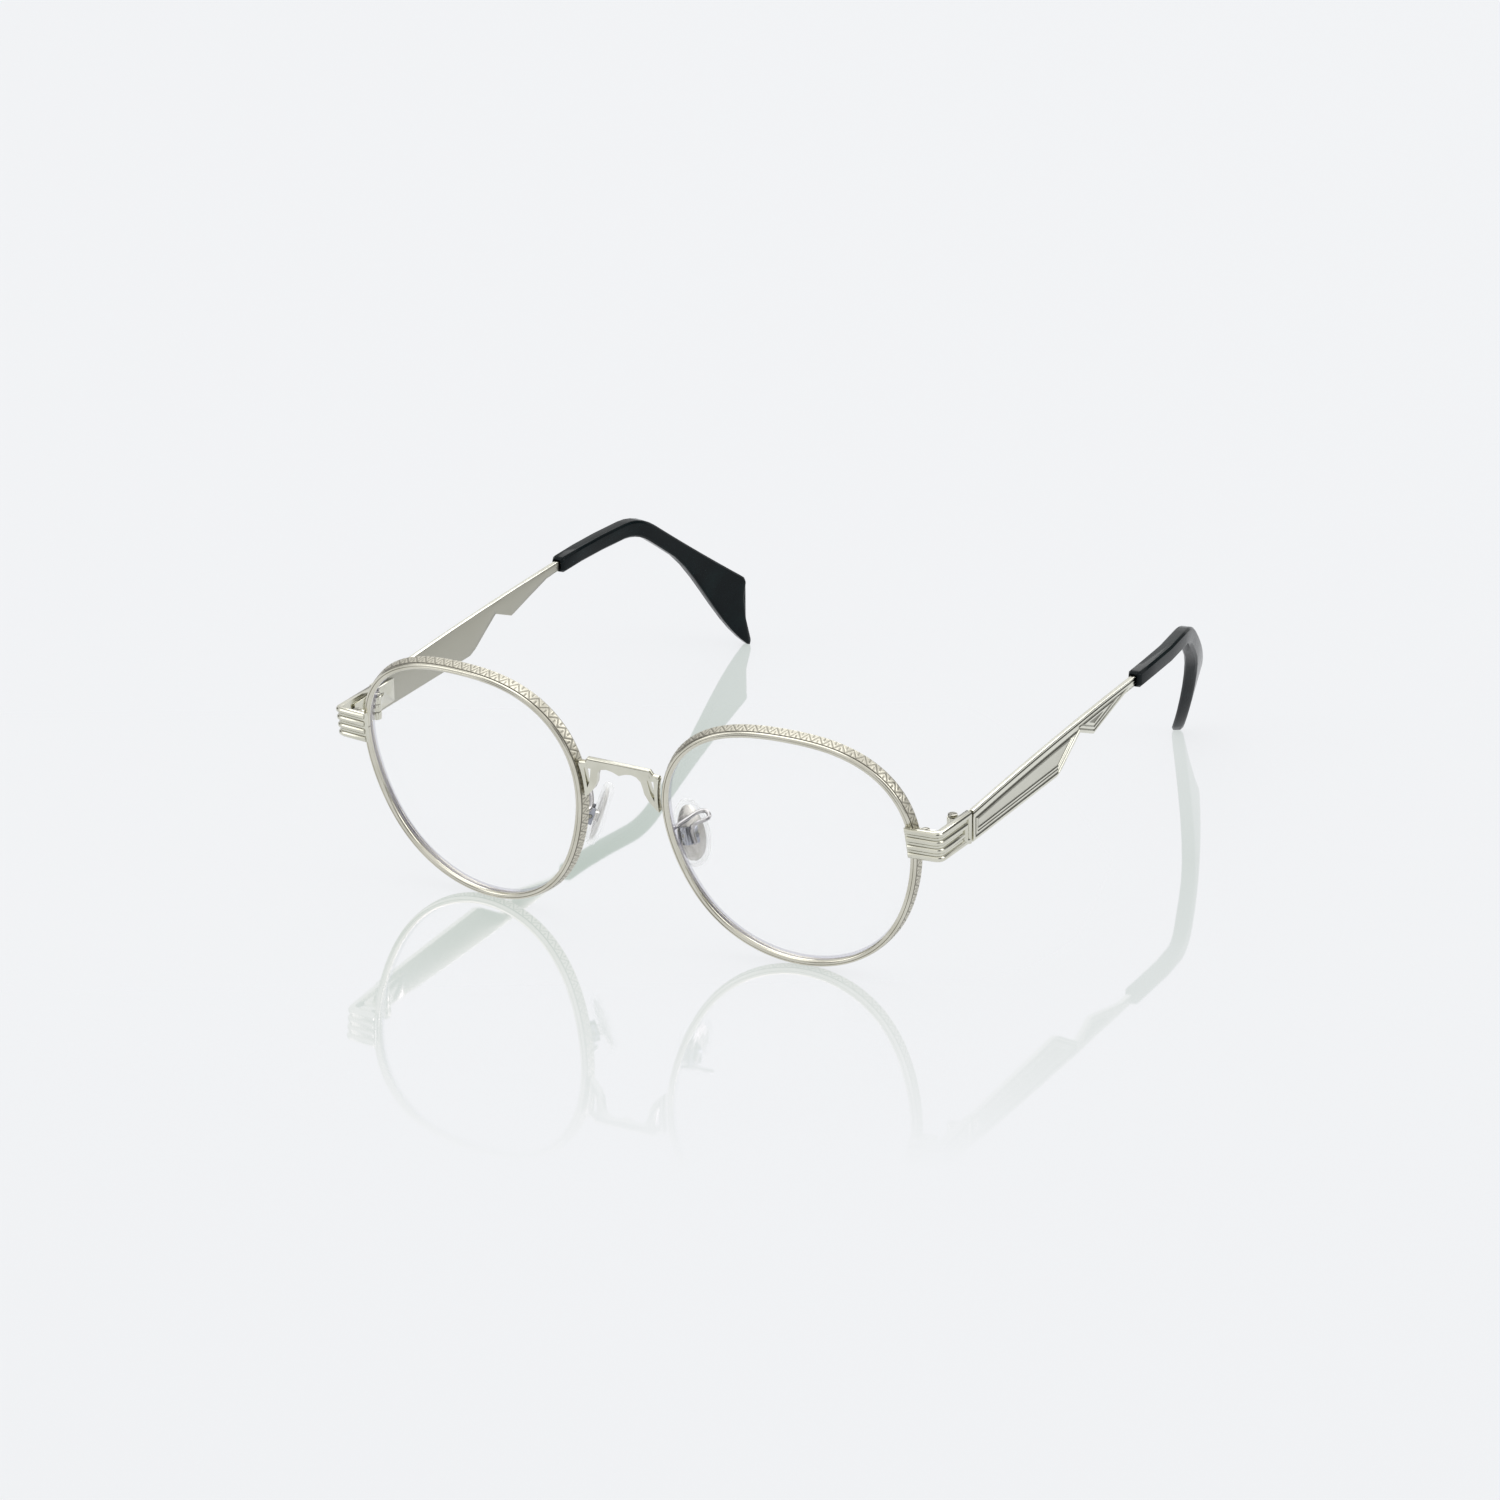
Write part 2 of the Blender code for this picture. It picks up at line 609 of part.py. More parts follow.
def make_bridge(material):
    """Make the double bridge: a stepped bar over an arched plate with two small windows."""
    setback = -(RIM_CENTRE_X - BRIDGE_BEND_X) * math.tan(FRONT_WRAP)
    frame = Matrix.Translation((0, setback, RIM_CENTRE_Z)) @ Matrix.Rotation(FRONT_TILT, 4, "X")
    bar = BRIDGE_BAR_HEIGHT
    short = bar - BRIDGE_STEP
    foot = BRIDGE_ARM_FOOT
    half = [(0.0, bar), (BRIDGE_BEND_X, bar), (BRIDGE_BEND_X + 0.4 * MM, short)]
    for step in range(7):
        height = short + (foot - short) * step / 6
        half.append((rim_edge_x(height, SEAT_GAP), height))
    half += bridge_arch()
    outline = half + [(-x, z) for x, z in reversed(half[1:-1])]
    low, high = BRIDGE_DEPTH - BRIDGE_PLATE / 2, BRIDGE_DEPTH + BRIDGE_PLATE / 2
    piece = mesh_object("bridge", prism(outline, low, high, bridge_place), material, frame)
    top = short - BRIDGE_BAR_RADIUS
    sill = foot + BRIDGE_WINDOW_RISE
    inner = BRIDGE_ARCH_X + BRIDGE_WEB
    for side in (LEFT, RIGHT):
        window = [(inner, top), (rim_edge_x(top, SEAT_GAP) - BRIDGE_STRIP, top),
                  (rim_edge_x(sill, SEAT_GAP) - 0.7 * BRIDGE_STRIP, sill),
                  (inner + 0.5 * MM, sill + BRIDGE_WINDOW_BEND)]
        window = [(side * x, z) for x, z in window]
        name = "bridge_window_" + SIDE_NAMES[side]
        cutter = mesh_object(name, prism(window, low - MM, high + MM, bridge_place), material, frame)
        boolean(piece, cutter, "DIFFERENCE")
    end = rim_edge_x(short - BRIDGE_BAR_RADIUS, SEAT_GAP)
    route = [(-end, short - 0.1 * MM), (-BRIDGE_BEND_X - 0.6 * MM, short), (-BRIDGE_BEND_X, bar),
             (BRIDGE_BEND_X, bar), (BRIDGE_BEND_X + 0.6 * MM, short), (end, short - 0.1 * MM)]
    rod = tube([Vector((x, BRIDGE_DEPTH, z)) for x, z in route], BRIDGE_BAR_RADIUS)
    boolean(piece, mesh_object("bridge_bar", rod, material, frame), "UNION")
    return piece


def bridge_place(across, height, depth):
    """Put bridge coordinates in the order of the bridge's frame."""
    return Vector((across, depth, height))


def knuckle_outline(web, radius):
    """Return a round knuckle about the origin, closed by the points of its web."""
    points = []
    for step in range(13):
        turn = math.pi / 2 + math.pi * step / 12
        points.append((radius * math.cos(turn), radius * math.sin(turn)))
    return points + web


def knuckle_levels():
    """Return the height spans of the lower, middle and upper knuckles, about the hinge's middle."""
    pitch = KNUCKLE_HEIGHT + KNUCKLE_GAP
    return [(row * pitch - KNUCKLE_HEIGHT / 2, row * pitch + KNUCKLE_HEIGHT / 2) for row in (-1, 0, 1)]


def hinge_place(side):
    """Return a function that puts hinge plan coordinates about the pin into the hinge's frame."""
    return lambda a, b, level: Vector((side * a, b, level))


def hinge_frame(side):
    """Return the hinge's frame, with its origin on the pin."""
    return Matrix.Translation((side * HINGE_X, HINGE_Y, HINGE_Z))


def cut_hinge_bore(piece, side, material):
    """Cut the pin's bore through a hinge half."""
    reach = KNUCKLE_HEIGHT * 3
    bore = round_bar((0, 0, -reach), (0, 0, reach), HINGE_SCREW_RADIUS + PIN_CLEARANCE, 20)
    cutter = mesh_object(piece.name + "_bore", bore, material, hinge_frame(side))
    boolean(piece, cutter, "DIFFERENCE")
    return cutter


def make_front_hinge(side, material):
    """Make the front half of the hinge: a leaf on the end piece's wall and two knuckles."""
    name = "front_hinge_" + SIDE_NAMES[side]
    place = hinge_place(side)
    leaf_out = WALL_IN_X - SEAT_GAP - HINGE_X
    leaf_in = leaf_out - LEAF_THICKNESS
    low, _, high = knuckle_levels()
    leaf = [(leaf_in, -LEAF_LENGTH), (leaf_out, -LEAF_LENGTH), (leaf_out, -0.3 * MM), (leaf_in, -0.3 * MM)]
    piece = mesh_object(name, prism(leaf, low[0], high[1], place), material, hinge_frame(side))
    web = [(leaf_out - LEAF_THICKNESS / 2, -KNUCKLE_RADIUS), (leaf_out - LEAF_THICKNESS / 2, KNUCKLE_RADIUS)]
    for label, (bottom, top) in (("low", low), ("high", high)):
        shape = prism(knuckle_outline(web, KNUCKLE_RADIUS), bottom, top, place)
        boolean(piece, mesh_object(name + "_" + label, shape, material, hinge_frame(side)), "UNION")
    cut_hinge_bore(piece, side, material)
    return piece


def make_temple_hinge(side, material, pivot):
    """Make the temple half of the hinge: a leaf on the temple's inner face and one knuckle."""
    name = "temple_hinge_" + SIDE_NAMES[side]
    place = hinge_place(side)
    frame = hinge_frame(side)
    low, middle, high = knuckle_levels()
    leaf_out = SIDE_X - TEMPLE_THICKNESS - SEAT_GAP - HINGE_X
    leaf_in = leaf_out - 2 * LEAF_THICKNESS
    start = END_SEAM_Y + SEAM_GAP + 0.6 * MM - HINGE_Y
    end = start + LEAF_LENGTH
    near, far = lean_in(start + HINGE_Y), lean_in(end + HINGE_Y)
    leaf = [(leaf_in - near, start), (leaf_out - near, start), (leaf_out - far, end), (leaf_in - far, end)]
    piece = mesh_object(name, prism(leaf, low[0], high[1], place), material, frame)
    radius = KNUCKLE_RADIUS - 0.05 * MM
    web = [(0.0, -radius), (radius * 0.8, -radius * 0.6), (radius, 0.0), (leaf_in + 0.1 * MM, start),
           (leaf_in + 0.1 * MM, start + 2.2 * MM), (leaf_in - 0.6 * MM, start + 0.8 * MM)]
    shape = prism(knuckle_outline(web[1:], radius), middle[0], middle[1], place)
    boolean(piece, mesh_object(name + "_knuckle", shape, material, frame), "UNION")
    cutter = cut_hinge_bore(piece, side, material)
    for item in (piece, cutter):
        hang_on_pivot(item, pivot)
    for modifier in piece.modifiers:
        if modifier.object is not cutter:
            hang_on_pivot(modifier.object, pivot)
    return piece


def make_hinge_screw(side, material):
    """Make the hinge pin, a slotted screw that drops in from the top."""
    low, _, high = knuckle_levels()
    foot = Vector((0, 0, low[0]))
    neck = Vector((0, 0, high[1] + SEAT_GAP / 2))
    return slotted_screw("hinge_screw_" + SIDE_NAMES[side], material, foot, neck,
                         HINGE_SCREW_RADIUS, hinge_frame(side))


def make_pivot(name, frame):
    """Make an empty that carries a moving body and stands on its joint's axis."""
    pivot = bpy.data.objects.new(name, None)
    bpy.context.scene.collection.objects.link(pivot)
    pivot.location = frame.to_translation()
    pivot.rotation_euler = frame.to_euler()
    return pivot


def hang_on_pivot(piece, pivot):
    """Parent a piece to a pivot without moving the piece."""
    bpy.context.view_layer.update()
    world = piece.matrix_world.copy()
    piece.parent = pivot
    piece.matrix_parent_inverse = Matrix.Identity(4)
    local = pivot.matrix_world.inverted() @ world
    piece.location = local.to_translation()
    piece.rotation_euler = local.to_euler()
    return piece


def pad_frame(side):
    """Return the pad's frame: X across the pad to its front, Y up its length, Z out of its face."""
    across = Vector((-side * math.sin(PAD_SPLAY), -math.cos(PAD_SPLAY), 0.0)) * side
    up = Vector((-side * math.sin(PAD_FLARE), math.sin(PAD_LEAN), math.cos(PAD_FLARE)))
    up = (up - across * up.dot(across)).normalized()
    turn = Matrix((across, up, across.cross(up))).transposed().to_4x4()
    return Matrix.Translation((side * PAD_X, PAD_SETBACK, RIM_CENTRE_Z - PAD_DROP)) @ turn


SCREW_LEVEL = -LUG_DROP


def egg(length, width, steps):
    """Return a pad outline that is a little fuller at its lower end."""
    points = []
    for step in range(steps):
        turn = 2 * math.pi * step / steps
        fullness = 1.0 - 0.12 * math.sin(turn)
        points.append((width / 2 * math.cos(turn) * fullness, length / 2 * math.sin(turn)))
    return points


def pad_loft(side, levels, length, width, steps=24):
    """Loft egg outlines, each level a height towards the nose and a share of the full outline."""
    rings = []
    for level, share in levels:
        rings.append([Vector((-side * a * share, b * (1 - (1 - share) * width / length), level))
                      for a, b in egg(length, width, steps)])
    return loft(rings)


def lug_shape(side, half_width, radius, start):
    """Return the lug under the pad's core: a tongue that ends round about the pad screw."""
    points = [(-radius, start), (radius, start)]
    for step in range(9):
        turn = -math.pi * step / 8
        points.append((radius * math.cos(turn), SCREW_LEVEL + radius * math.sin(turn)))
    centre = -LUG_SHIFT
    return prism(points, centre - half_width, centre + half_width,
                 lambda a, b, level: Vector((-side * level, a, b)))


def pad_bore(side, name, material, radius):
    """Return a cutter for the pad screw's bore."""
    reach = LUG_WIDTH + 3 * BOX_WALL
    start = Vector((-side * (-LUG_SHIFT - reach), 0, SCREW_LEVEL))
    end = Vector((-side * (-LUG_SHIFT + reach), 0, SCREW_LEVEL))
    return mesh_object(name, round_bar(start, end, radius, 16), material, pad_frame(side))


def make_nose_pad(side, material, pivot):
    """Make the soft pad, with a pocket for its core that opens through the back."""
    name = "nose_pad_" + SIDE_NAMES[side]
    levels = [(-PAD_BACK, 0.84), (-0.8 * PAD_BACK, 0.95), (-0.4 * PAD_BACK, 1.0), (0.1 * PAD_FRONT, 1.0),
              (0.5 * PAD_FRONT, 0.94), (0.8 * PAD_FRONT, 0.8), (PAD_FRONT, 0.5)]
    frame = pad_frame(side)
    piece = mesh_object(name, pad_loft(side, levels, PAD_LENGTH, PAD_WIDTH), material, frame)
    room = SEAT_GAP
    pocket = pad_loft(side, [(-CORE_THICKNESS - room, 1.0), (room, 1.0)],
                      CORE_LENGTH + 2 * room, CORE_WIDTH + 2 * room, 20)
    hole = lug_shape(side, LUG_WIDTH / 2 + room, LUG_RADIUS + room, -CORE_THICKNESS / 2)
    pocket_piece = mesh_object(name + "_pocket", pocket, material, frame)
    boolean(pocket_piece, mesh_object(name + "_hole", hole, material, frame), "UNION")
    boolean(piece, pocket_piece, "DIFFERENCE")
    for item in (piece, pocket_piece, pocket_piece.modifiers[0].object):
        hang_on_pivot(item, pivot)
    return piece


def make_pad_core(side, material, pivot):
    """Make the metal core inside the pad, with the lug that the pad screw passes through."""
    name = "pad_core_" + SIDE_NAMES[side]
    frame = pad_frame(side)
    plate = pad_loft(side, [(-CORE_THICKNESS, 1.0), (0.0, 1.0)], CORE_LENGTH, CORE_WIDTH, 20)
    piece = mesh_object(name, plate, material, frame)
    lug = mesh_object(name + "_lug", lug_shape(side, LUG_WIDTH / 2, LUG_RADIUS, -CORE_THICKNESS / 2),
                      material, frame)
    bore = pad_bore(side, name + "_bore", material, PAD_SCREW_RADIUS + PIN_CLEARANCE)
    boolean(piece, lug, "UNION")
    boolean(piece, bore, "DIFFERENCE")
    for item in (piece, lug, bore):
        hang_on_pivot(item, pivot)
    return piece


def make_pad_box(side, material):
    """Make the small open box that holds the pad's lug between two cheeks."""
    name = "pad_box_" + SIDE_NAMES[side]
    inner = LUG_WIDTH / 2 + SEAT_GAP
    outer = inner + BOX_WALL
    half = BOX_HALF
    floor = SCREW_LEVEL - LUG_RADIUS - SEAT_GAP
    rim = -PAD_BACK - 0.3 * MM
    outline = [(-outer, rim), (-inner, rim), (-inner, floor), (inner, floor), (inner, rim), (outer, rim),
               (outer, floor - BOX_WALL), (-outer, floor - BOX_WALL)]
    shape = prism(outline, -half, half,
                  lambda a, b, level: Vector((-side * (a - LUG_SHIFT), level, b)))
    piece = mesh_object(name, shape, material, pad_frame(side))
    bore = pad_bore(side, name + "_bore", material, PAD_SCREW_RADIUS + PIN_CLEARANCE)
    boolean(piece, bore, "DIFFERENCE")
    return piece


def make_pad_screw(side, material):
    """Make the screw that the pad rocks on."""
    outer = LUG_WIDTH / 2 + SEAT_GAP + BOX_WALL
    foot = Vector((-side * (-LUG_SHIFT - outer), 0, SCREW_LEVEL))
    neck = Vector((-side * (-LUG_SHIFT + outer + SEAT_GAP / 2), 0, SCREW_LEVEL))
    return slotted_screw("pad_screw_" + SIDE_NAMES[side], material, foot, neck,
                         PAD_SCREW_RADIUS, pad_frame(side))


def make_pad_arm(side, material):
    """Bend the wire arm that runs back from the rim, turns round a loop and meets the pad box."""
    curve = bpy.data.curves.new("pad_arm_" + SIDE_NAMES[side], "CURVE")
    curve.dimensions = "3D"
    curve.bevel_depth = PAD_WIRE_RADIUS
    curve.bevel_resolution = 2
    curve.use_fill_caps = True
    level = SCREW_LEVEL - LUG_RADIUS - BOX_WALL - 2 * SEAT_GAP - PAD_WIRE_RADIUS
    ends = [pad_frame(side) @ Vector((side * LUG_SHIFT, rise, level)) for rise in (BOX_HALF, -BOX_HALF)]
    seat_x, seat_z = outline_point(ARM_SEAT_ANGLE, (REAR_LIP_INSET + BAND_WIDTH) / 2)
    seat = rim_frame(side) @ Vector((side * seat_x, RIM_DEPTH + SEAT_GAP, seat_z))
    steps = [(0.1, 1.2, 0.1), (1.2, 3.6, 0.9), (2.6, 5.5, 1.9), (4.0, 5.9, 2.1), (4.9, 4.9, 1.3)]
    route = [seat] + [seat + Vector((side * x, y, z)) * MM for x, y, z in steps] + ends
    dense = smooth_route(route, 4)
    spline = curve.splines.new("POLY")
    spline.points.add(len(dense) - 1)
    for point, place in zip(spline.points, dense):
        point.co = (*place, 1.0)
    piece = bpy.data.objects.new(curve.name, curve)
    curve.materials.append(material)
    bpy.context.scene.collection.objects.link(piece)
    return piece


def smooth_route(points, steps):
    """Return points along a smooth curve through the given ones."""
    route = []
    last = len(points) - 1
    for index in range(last):
        before = points[max(index - 1, 0)]
        start, end = points[index], points[index + 1]
        after = points[min(index + 2, last)]
        for step in range(steps):
            t = step / steps
            route.append(0.5 * (2 * start + (end - before) * t
                                + (2 * before - 5 * start + 4 * end - after) * t * t
                                + (3 * start - before - 3 * end + after) * t ** 3))
    return route + [points[-1]]


def temple_top(y):
    """Return the height of the temple's top edge above the hinge's middle."""
    start = END_SEAM_Y + SEAM_GAP
    share = (y - start) / (TEMPLE_LENGTH - start)
    first = END_HEIGHT / 2 - (start - HINGE_Y) * END_FALL
    last = TIP_RISE - (TIP_HEIGHT - CORE_BAR_HEIGHT) / 2
    return first + (last - first) * share + 4 * TEMPLE_BOW * share * (1 - share)


def temple_outline():
    """Return the temple's side outline as distances back and heights above the hinge's middle."""
    start = END_SEAM_Y + SEAM_GAP
    top = [start + (TEMPLE_LENGTH - start) * step / 12 for step in range(13)]
    neck = temple_top(TEMPLE_LENGTH) - CORE_BAR_HEIGHT
    step_foot = -STEP_DROP
    bottom = [
        (TEMPLE_LENGTH, neck), (NECK_Y, neck - 0.1 * MM), ((STEP_Y + NECK_Y) / 2, (step_foot + neck) / 2),
        (STEP_Y + 0.5 * MM, step_foot + 0.15 * MM), (STEP_Y - 0.4 * MM, step_foot),
        (NOTCH_Y + 0.3 * MM, NOTCH_RISE), (NOTCH_Y - 0.4 * MM, NOTCH_RISE - 0.4 * MM),
        (WING_Y + 1.0 * MM, -WING_DROP + 0.7 * MM), (WING_Y - 1.0 * MM, -WING_DROP),
        (start, temple_top(start) - END_HEIGHT),
    ]
    return [(y, temple_top(y)) for y in top] + bottom


def inset_outline(outline, distances):
    """Move each edge of a convex outline inwards by its own distance."""
    points = [Vector(point) for point in outline]
    count = len(points)
    area = sum(points[i].cross(points[(i + 1) % count]) for i in range(count))
    sign = 1.0 if area > 0 else -1.0
    edges = []
    for index in range(count):
        way = (points[(index + 1) % count] - points[index]).normalized()
        normal = Vector((-way.y, way.x)) * sign
        edges.append((points[index] + normal * distances[index], way))
    moved = []
    for index in range(count):
        (start, way), (other, other_way) = edges[index - 1], edges[index]
        reach = (other - start).cross(other_way) / way.cross(other_way)
        moved.append(tuple(start + way * reach))
    return moved


def long_panel():
    """Return the outline of the groove round the temple's long panel."""
    start = END_SEAM_Y + SEAM_GAP + PANEL_MARGIN
    apex = NOTCH_Y - PANEL_APEX
    return [
        (start, temple_top(start) - PANEL_TOP),
        (apex, temple_top(apex) - PANEL_TOP + 0.2 * MM),
        (WING_Y + 0.1 * MM, -WING_DROP + 1.15 * PANEL_MARGIN),
        (WING_Y - 1.4 * MM, -WING_DROP + 0.95 * PANEL_MARGIN),
        (start, temple_top(start) - END_HEIGHT + PANEL_MARGIN),
    ]


def long_field():
    """Return the outline of the sunk field, which narrows away from the long panel's groove."""
    start = END_SEAM_Y + SEAM_GAP + PANEL_MARGIN + FIELD_LEAD
    apex = NOTCH_Y - PANEL_APEX - FIELD_APEX_BACK
    return [
        (start, temple_top(start) - PANEL_TOP - FIELD_RAIL),
        (apex, temple_top(apex) - PANEL_TOP - FIELD_APEX_RAIL),
        (WING_Y - 0.6 * MM, -WING_DROP + FIELD_FOOT),
        (start, temple_top(start) - END_HEIGHT + FIELD_FOOT),
    ]


def wing_panel():
    """Return the outline of the small three-cornered panel behind the notch."""
    front = NOTCH_Y + 1.4 * MM
    back = NECK_Y - 3.9 * MM
    return [
        (front, temple_top(front) - WING_PANEL_TOP),
        (back, temple_top(back) - WING_PANEL_TOP),
        (STEP_Y - 0.2 * MM, -STEP_DROP + WING_PANEL_FOOT),
    ]


def wing_lip():
    """Return the corners of the groove that runs along inside the step's lower edge."""
    neck = temple_top(TEMPLE_LENGTH) - CORE_BAR_HEIGHT
    return [
        (NOTCH_Y + 0.55 * MM, NOTCH_RISE + 0.6 * MM),
        (STEP_Y + 0.25 * MM, -STEP_DROP + 0.75 * MM),
        (NECK_Y + 1.0 * MM, neck + WING_LIP),
    ]


def temple_place(side):
    """Return a function from side-view coordinates and a depth to the hinge's frame."""
    return lambda y, z, x: Vector((side * (x - lean_in(y) - HINGE_X), y - HINGE_Y, z))


def cut_field(piece, side, outline, sink, material, name):
    """Sink a flat field into the temple's outer face."""
    shape = prism(outline, SIDE_X - sink, SIDE_X + GROOVE_CUT, temple_place(side))
    cutter = mesh_object(name, shape, material, hinge_frame(side))
    boolean(piece, cutter, "DIFFERENCE")
    return cutter


def cut_groove(piece, side, outline, widths, material, name):
    """Cut a groove into the temple's outer face, with a width along each edge of an outline."""
    cutter = cut_field(piece, side, outline, GROOVE_CUT, material, name)
    low, high = SIDE_X - GROOVE_CUT - MM, SIDE_X + GROOVE_CUT + MM
    shape = prism(inset_outline(outline, widths), low, high, temple_place(side))
    island = mesh_object(name + "_island", shape, material, hinge_frame(side))
    boolean(cutter, island, "DIFFERENCE")
    return [cutter, island]


def make_temple(side, material, pivot):
    """Make the temple: a cut sheet with sunk panels, and the core bar that runs on into the tip."""
    name = "temple_" + SIDE_NAMES[side]
    frame = hinge_frame(side)
    shape = prism(temple_outline(), SIDE_X - TEMPLE_THICKNESS, SIDE_X, temple_place(side))
    piece = mesh_object(name, shape, material, frame)
    panel, wing, lip = long_panel(), wing_panel(), wing_lip()
    eye = inset_outline(wing, [WING_EYE_INSET] * len(wing))
    narrow = WING_GROOVE_WIDTH
    helpers = cut_groove(piece, side, panel, [GROOVE_WIDTH] * len(panel), material, name + "_groove")
    helpers.append(cut_field(piece, side, long_field(), FIELD_SINK, material, name + "_field"))
    helpers.append(cut_field(piece, side, eye, FIELD_SINK, material, name + "_wing_eye"))
    helpers += cut_groove(piece, side, wing, [narrow] * len(wing), material, name + "_wing_groove")
    helpers += cut_groove(piece, side, lip, [narrow, narrow, -narrow], material, name + "_lip_groove")
    core = mesh_object(name + "_core", core_bar(side, 0.0, TEMPLE_LENGTH - 1.0 * MM), material, frame)
    boolean(piece, core, "UNION")
    for item in [piece, core] + helpers:
        hang_on_pivot(item, pivot)
    return piece


def lean_in(y):
    """Return how far inwards the temple stands at a distance back."""
    return TEMPLE_LEAN * (y - END_SEAM_Y)


# The tip hangs from its top edge: level, round the bend, then straight down to the toe
def tip_station(share):
    """Return the top edge's place, its direction, the section's height and its thickness."""
    level_end = 0.3
    bend_end = 0.5
    top_z = TIP_RISE
    bend_rise = TIP_BEND_RADIUS * (1 - math.cos(TIP_BEND_ANGLE))
    if share <= level_end:
        y = TIP_START_Y + (TIP_BEND_Y - TIP_START_Y) * share / level_end
        turn, z, run = 0.0, top_z, 0.0
    elif share <= bend_end:
        turn = TIP_BEND_ANGLE * (share - level_end) / (bend_end - level_end)
        y = TIP_BEND_Y + TIP_BEND_RADIUS * math.sin(turn)
        z, run = top_z - TIP_BEND_RADIUS * (1 - math.cos(turn)), 0.0
    else:
        turn = TIP_BEND_ANGLE
        run = (share - bend_end) / (1 - bend_end)
        reach = toe_run() * run
        y = TIP_BEND_Y + TIP_BEND_RADIUS * math.sin(turn) + reach * math.cos(turn)
        z = top_z - bend_rise - reach * math.sin(turn)
    bent = min(share / bend_end, 1.0)
    height = TIP_HEIGHT + (TIP_BEND_HEIGHT - TIP_HEIGHT) * bent
    flare = ease((run - TIP_FLARE_START) / (1 - TIP_FLARE_START))
    height += (TIP_HEEL_HEIGHT - TIP_BEND_HEIGHT) * flare
    thickness = TIP_THICKNESS + (TIP_HEEL_THICKNESS - TIP_THICKNESS) * run
    return y, z, turn, height, thickness, run


def toe_run():
    """Return the length of the tip's straight top edge, which ends where the toe meets the table."""
    fall = TIP_BEND_RADIUS * (1 - math.cos(TIP_BEND_ANGLE)) + TIP_HEEL_HEIGHT * math.cos(TIP_BEND_ANGLE)
    return (HINGE_Z + TIP_RISE + TOE_SINK - fall) / math.sin(TIP_BEND_ANGLE) - TIP_HEEL_LEAD


def corner_cut(distance, run, depth):
    """Return how far a rounded corner draws in at a distance from the toe's end."""
    share = max(1 - distance / run, 0.0)
    return depth * (1 - math.sqrt(1 - share * share))


def tip_point(side, share, down, across):
    """Return the place of a point a distance down from the top edge and across from the middle."""
    y, z, turn, height, _, run = tip_station(share)
    lead = TIP_HEEL_LEAD * run * down / height
    level = min(max(down / height, 0.0), 1.0)
    dent = TIP_DENT * 4 * level * (1 - level) * ease((run - 0.8) / 0.2)
    along = lead - dent
    y += along * math.cos(turn)
    z -= along * math.sin(turn)
    start = TIP_TURN_START_LEFT if side == LEFT else TIP_TURN_START_RIGHT
    length = TIP_TURN_LENGTH - start
    bend = max(y - TIP_START_Y - start, 0.0) / length
    y -= down * math.sin(turn)
    z -= down * math.cos(turn)
    middle = SIDE_X - TEMPLE_THICKNESS / 2 - lean_in(y) - TIP_TURN_IN * bend * bend
    slope = math.atan(2 * TIP_TURN_IN * bend / length)
    x = middle + across * math.cos(slope)
    y += across * math.sin(slope)
    return Vector((side * (x - HINGE_X), y - HINGE_Y, z))


def core_bar(side, room, start_y=None):
    """Return the core bar that follows the tip's bend, grown by a clearance all round."""
    half_height = CORE_BAR_HEIGHT / 2 + room
    half_width = CORE_BAR_THICKNESS / 2 + room
    rings = []
    steps = 16
    reach = CORE_ROOM_REACH if room else CORE_BAR_REACH
    for step in range(steps + 1):
        share = reach * step / steps
        middle = tip_station(min(share, 0.5))[3] / 2
        ring = [tip_point(side, share, middle + down, across)
                for down, across in ((-half_height, -half_width), (half_height, -half_width),
                                     (half_height, half_width), (-half_height, half_width))]
        rings.append(ring)
    if start_y is not None or room:
        front = start_y if start_y is not None else TIP_START_Y - MM
        shift = Vector((0, front - TIP_START_Y, 0))
        rings.insert(0, [point + shift for point in rings[0]])
    return loft(rings)


def make_temple_tip(side, material, pivot):
    """Make the moulded tip: a chamfered bar that bends down and flares into a notched paddle."""
    name = "temple_tip_" + SIDE_NAMES[side]
    frame = hinge_frame(side)
    shares = [0.0, 0.012, 0.1, 0.2, 0.3, 0.34, 0.38, 0.42, 0.46, 0.5, 0.56, 0.62, 0.67, 0.72, 0.77,
              0.82, 0.87, 0.91, 0.945]
    ends = [TOE_LOW_RUN * share for share in (1.0, 0.5, 0.22, 0.06, 0.0)]
    stations = [(share, TOE_LOW_RUN) for share in shares]
    stations += [(1.0 - 0.5 * end / toe_run(), end) for end in ends]
    rings = []
    for share, end in stations:
        _, _, _, height, thickness, _ = tip_station(share)
        pinch = 0.35 * MM if share == 0.0 else 0.0
        cut = corner_cut(end, TOE_TOP_ROUND, TOE_TOP_ROUND)
        half = thickness / 2 - pinch - 0.35 * cut
        chamfer = TIP_CHAMFER
        low = pinch + cut
        high = height - pinch - corner_cut(end, TOE_LOW_RUN, TOE_LOW_ROUND)
        span = high - low
        downs = [low, low + chamfer, low + span * 0.33, low + span * 0.67, high - chamfer, high]
        widths = [half - chamfer, half, half, half, half, half - chamfer]
        ring = [tip_point(side, share, down, width) for down, width in zip(downs, widths)]
        ring += [tip_point(side, share, down, -width) for down, width in reversed(list(zip(downs, widths)))]
        rings.append(ring)
    piece = mesh_object(name, loft(rings), material, frame, 50.0)
    cavity = mesh_object(name + "_cavity", core_bar(side, SEAT_GAP), material, frame)
    boolean(piece, cavity, "DIFFERENCE")
    for item in (piece, cavity):
        hang_on_pivot(item, pivot)
    return piece


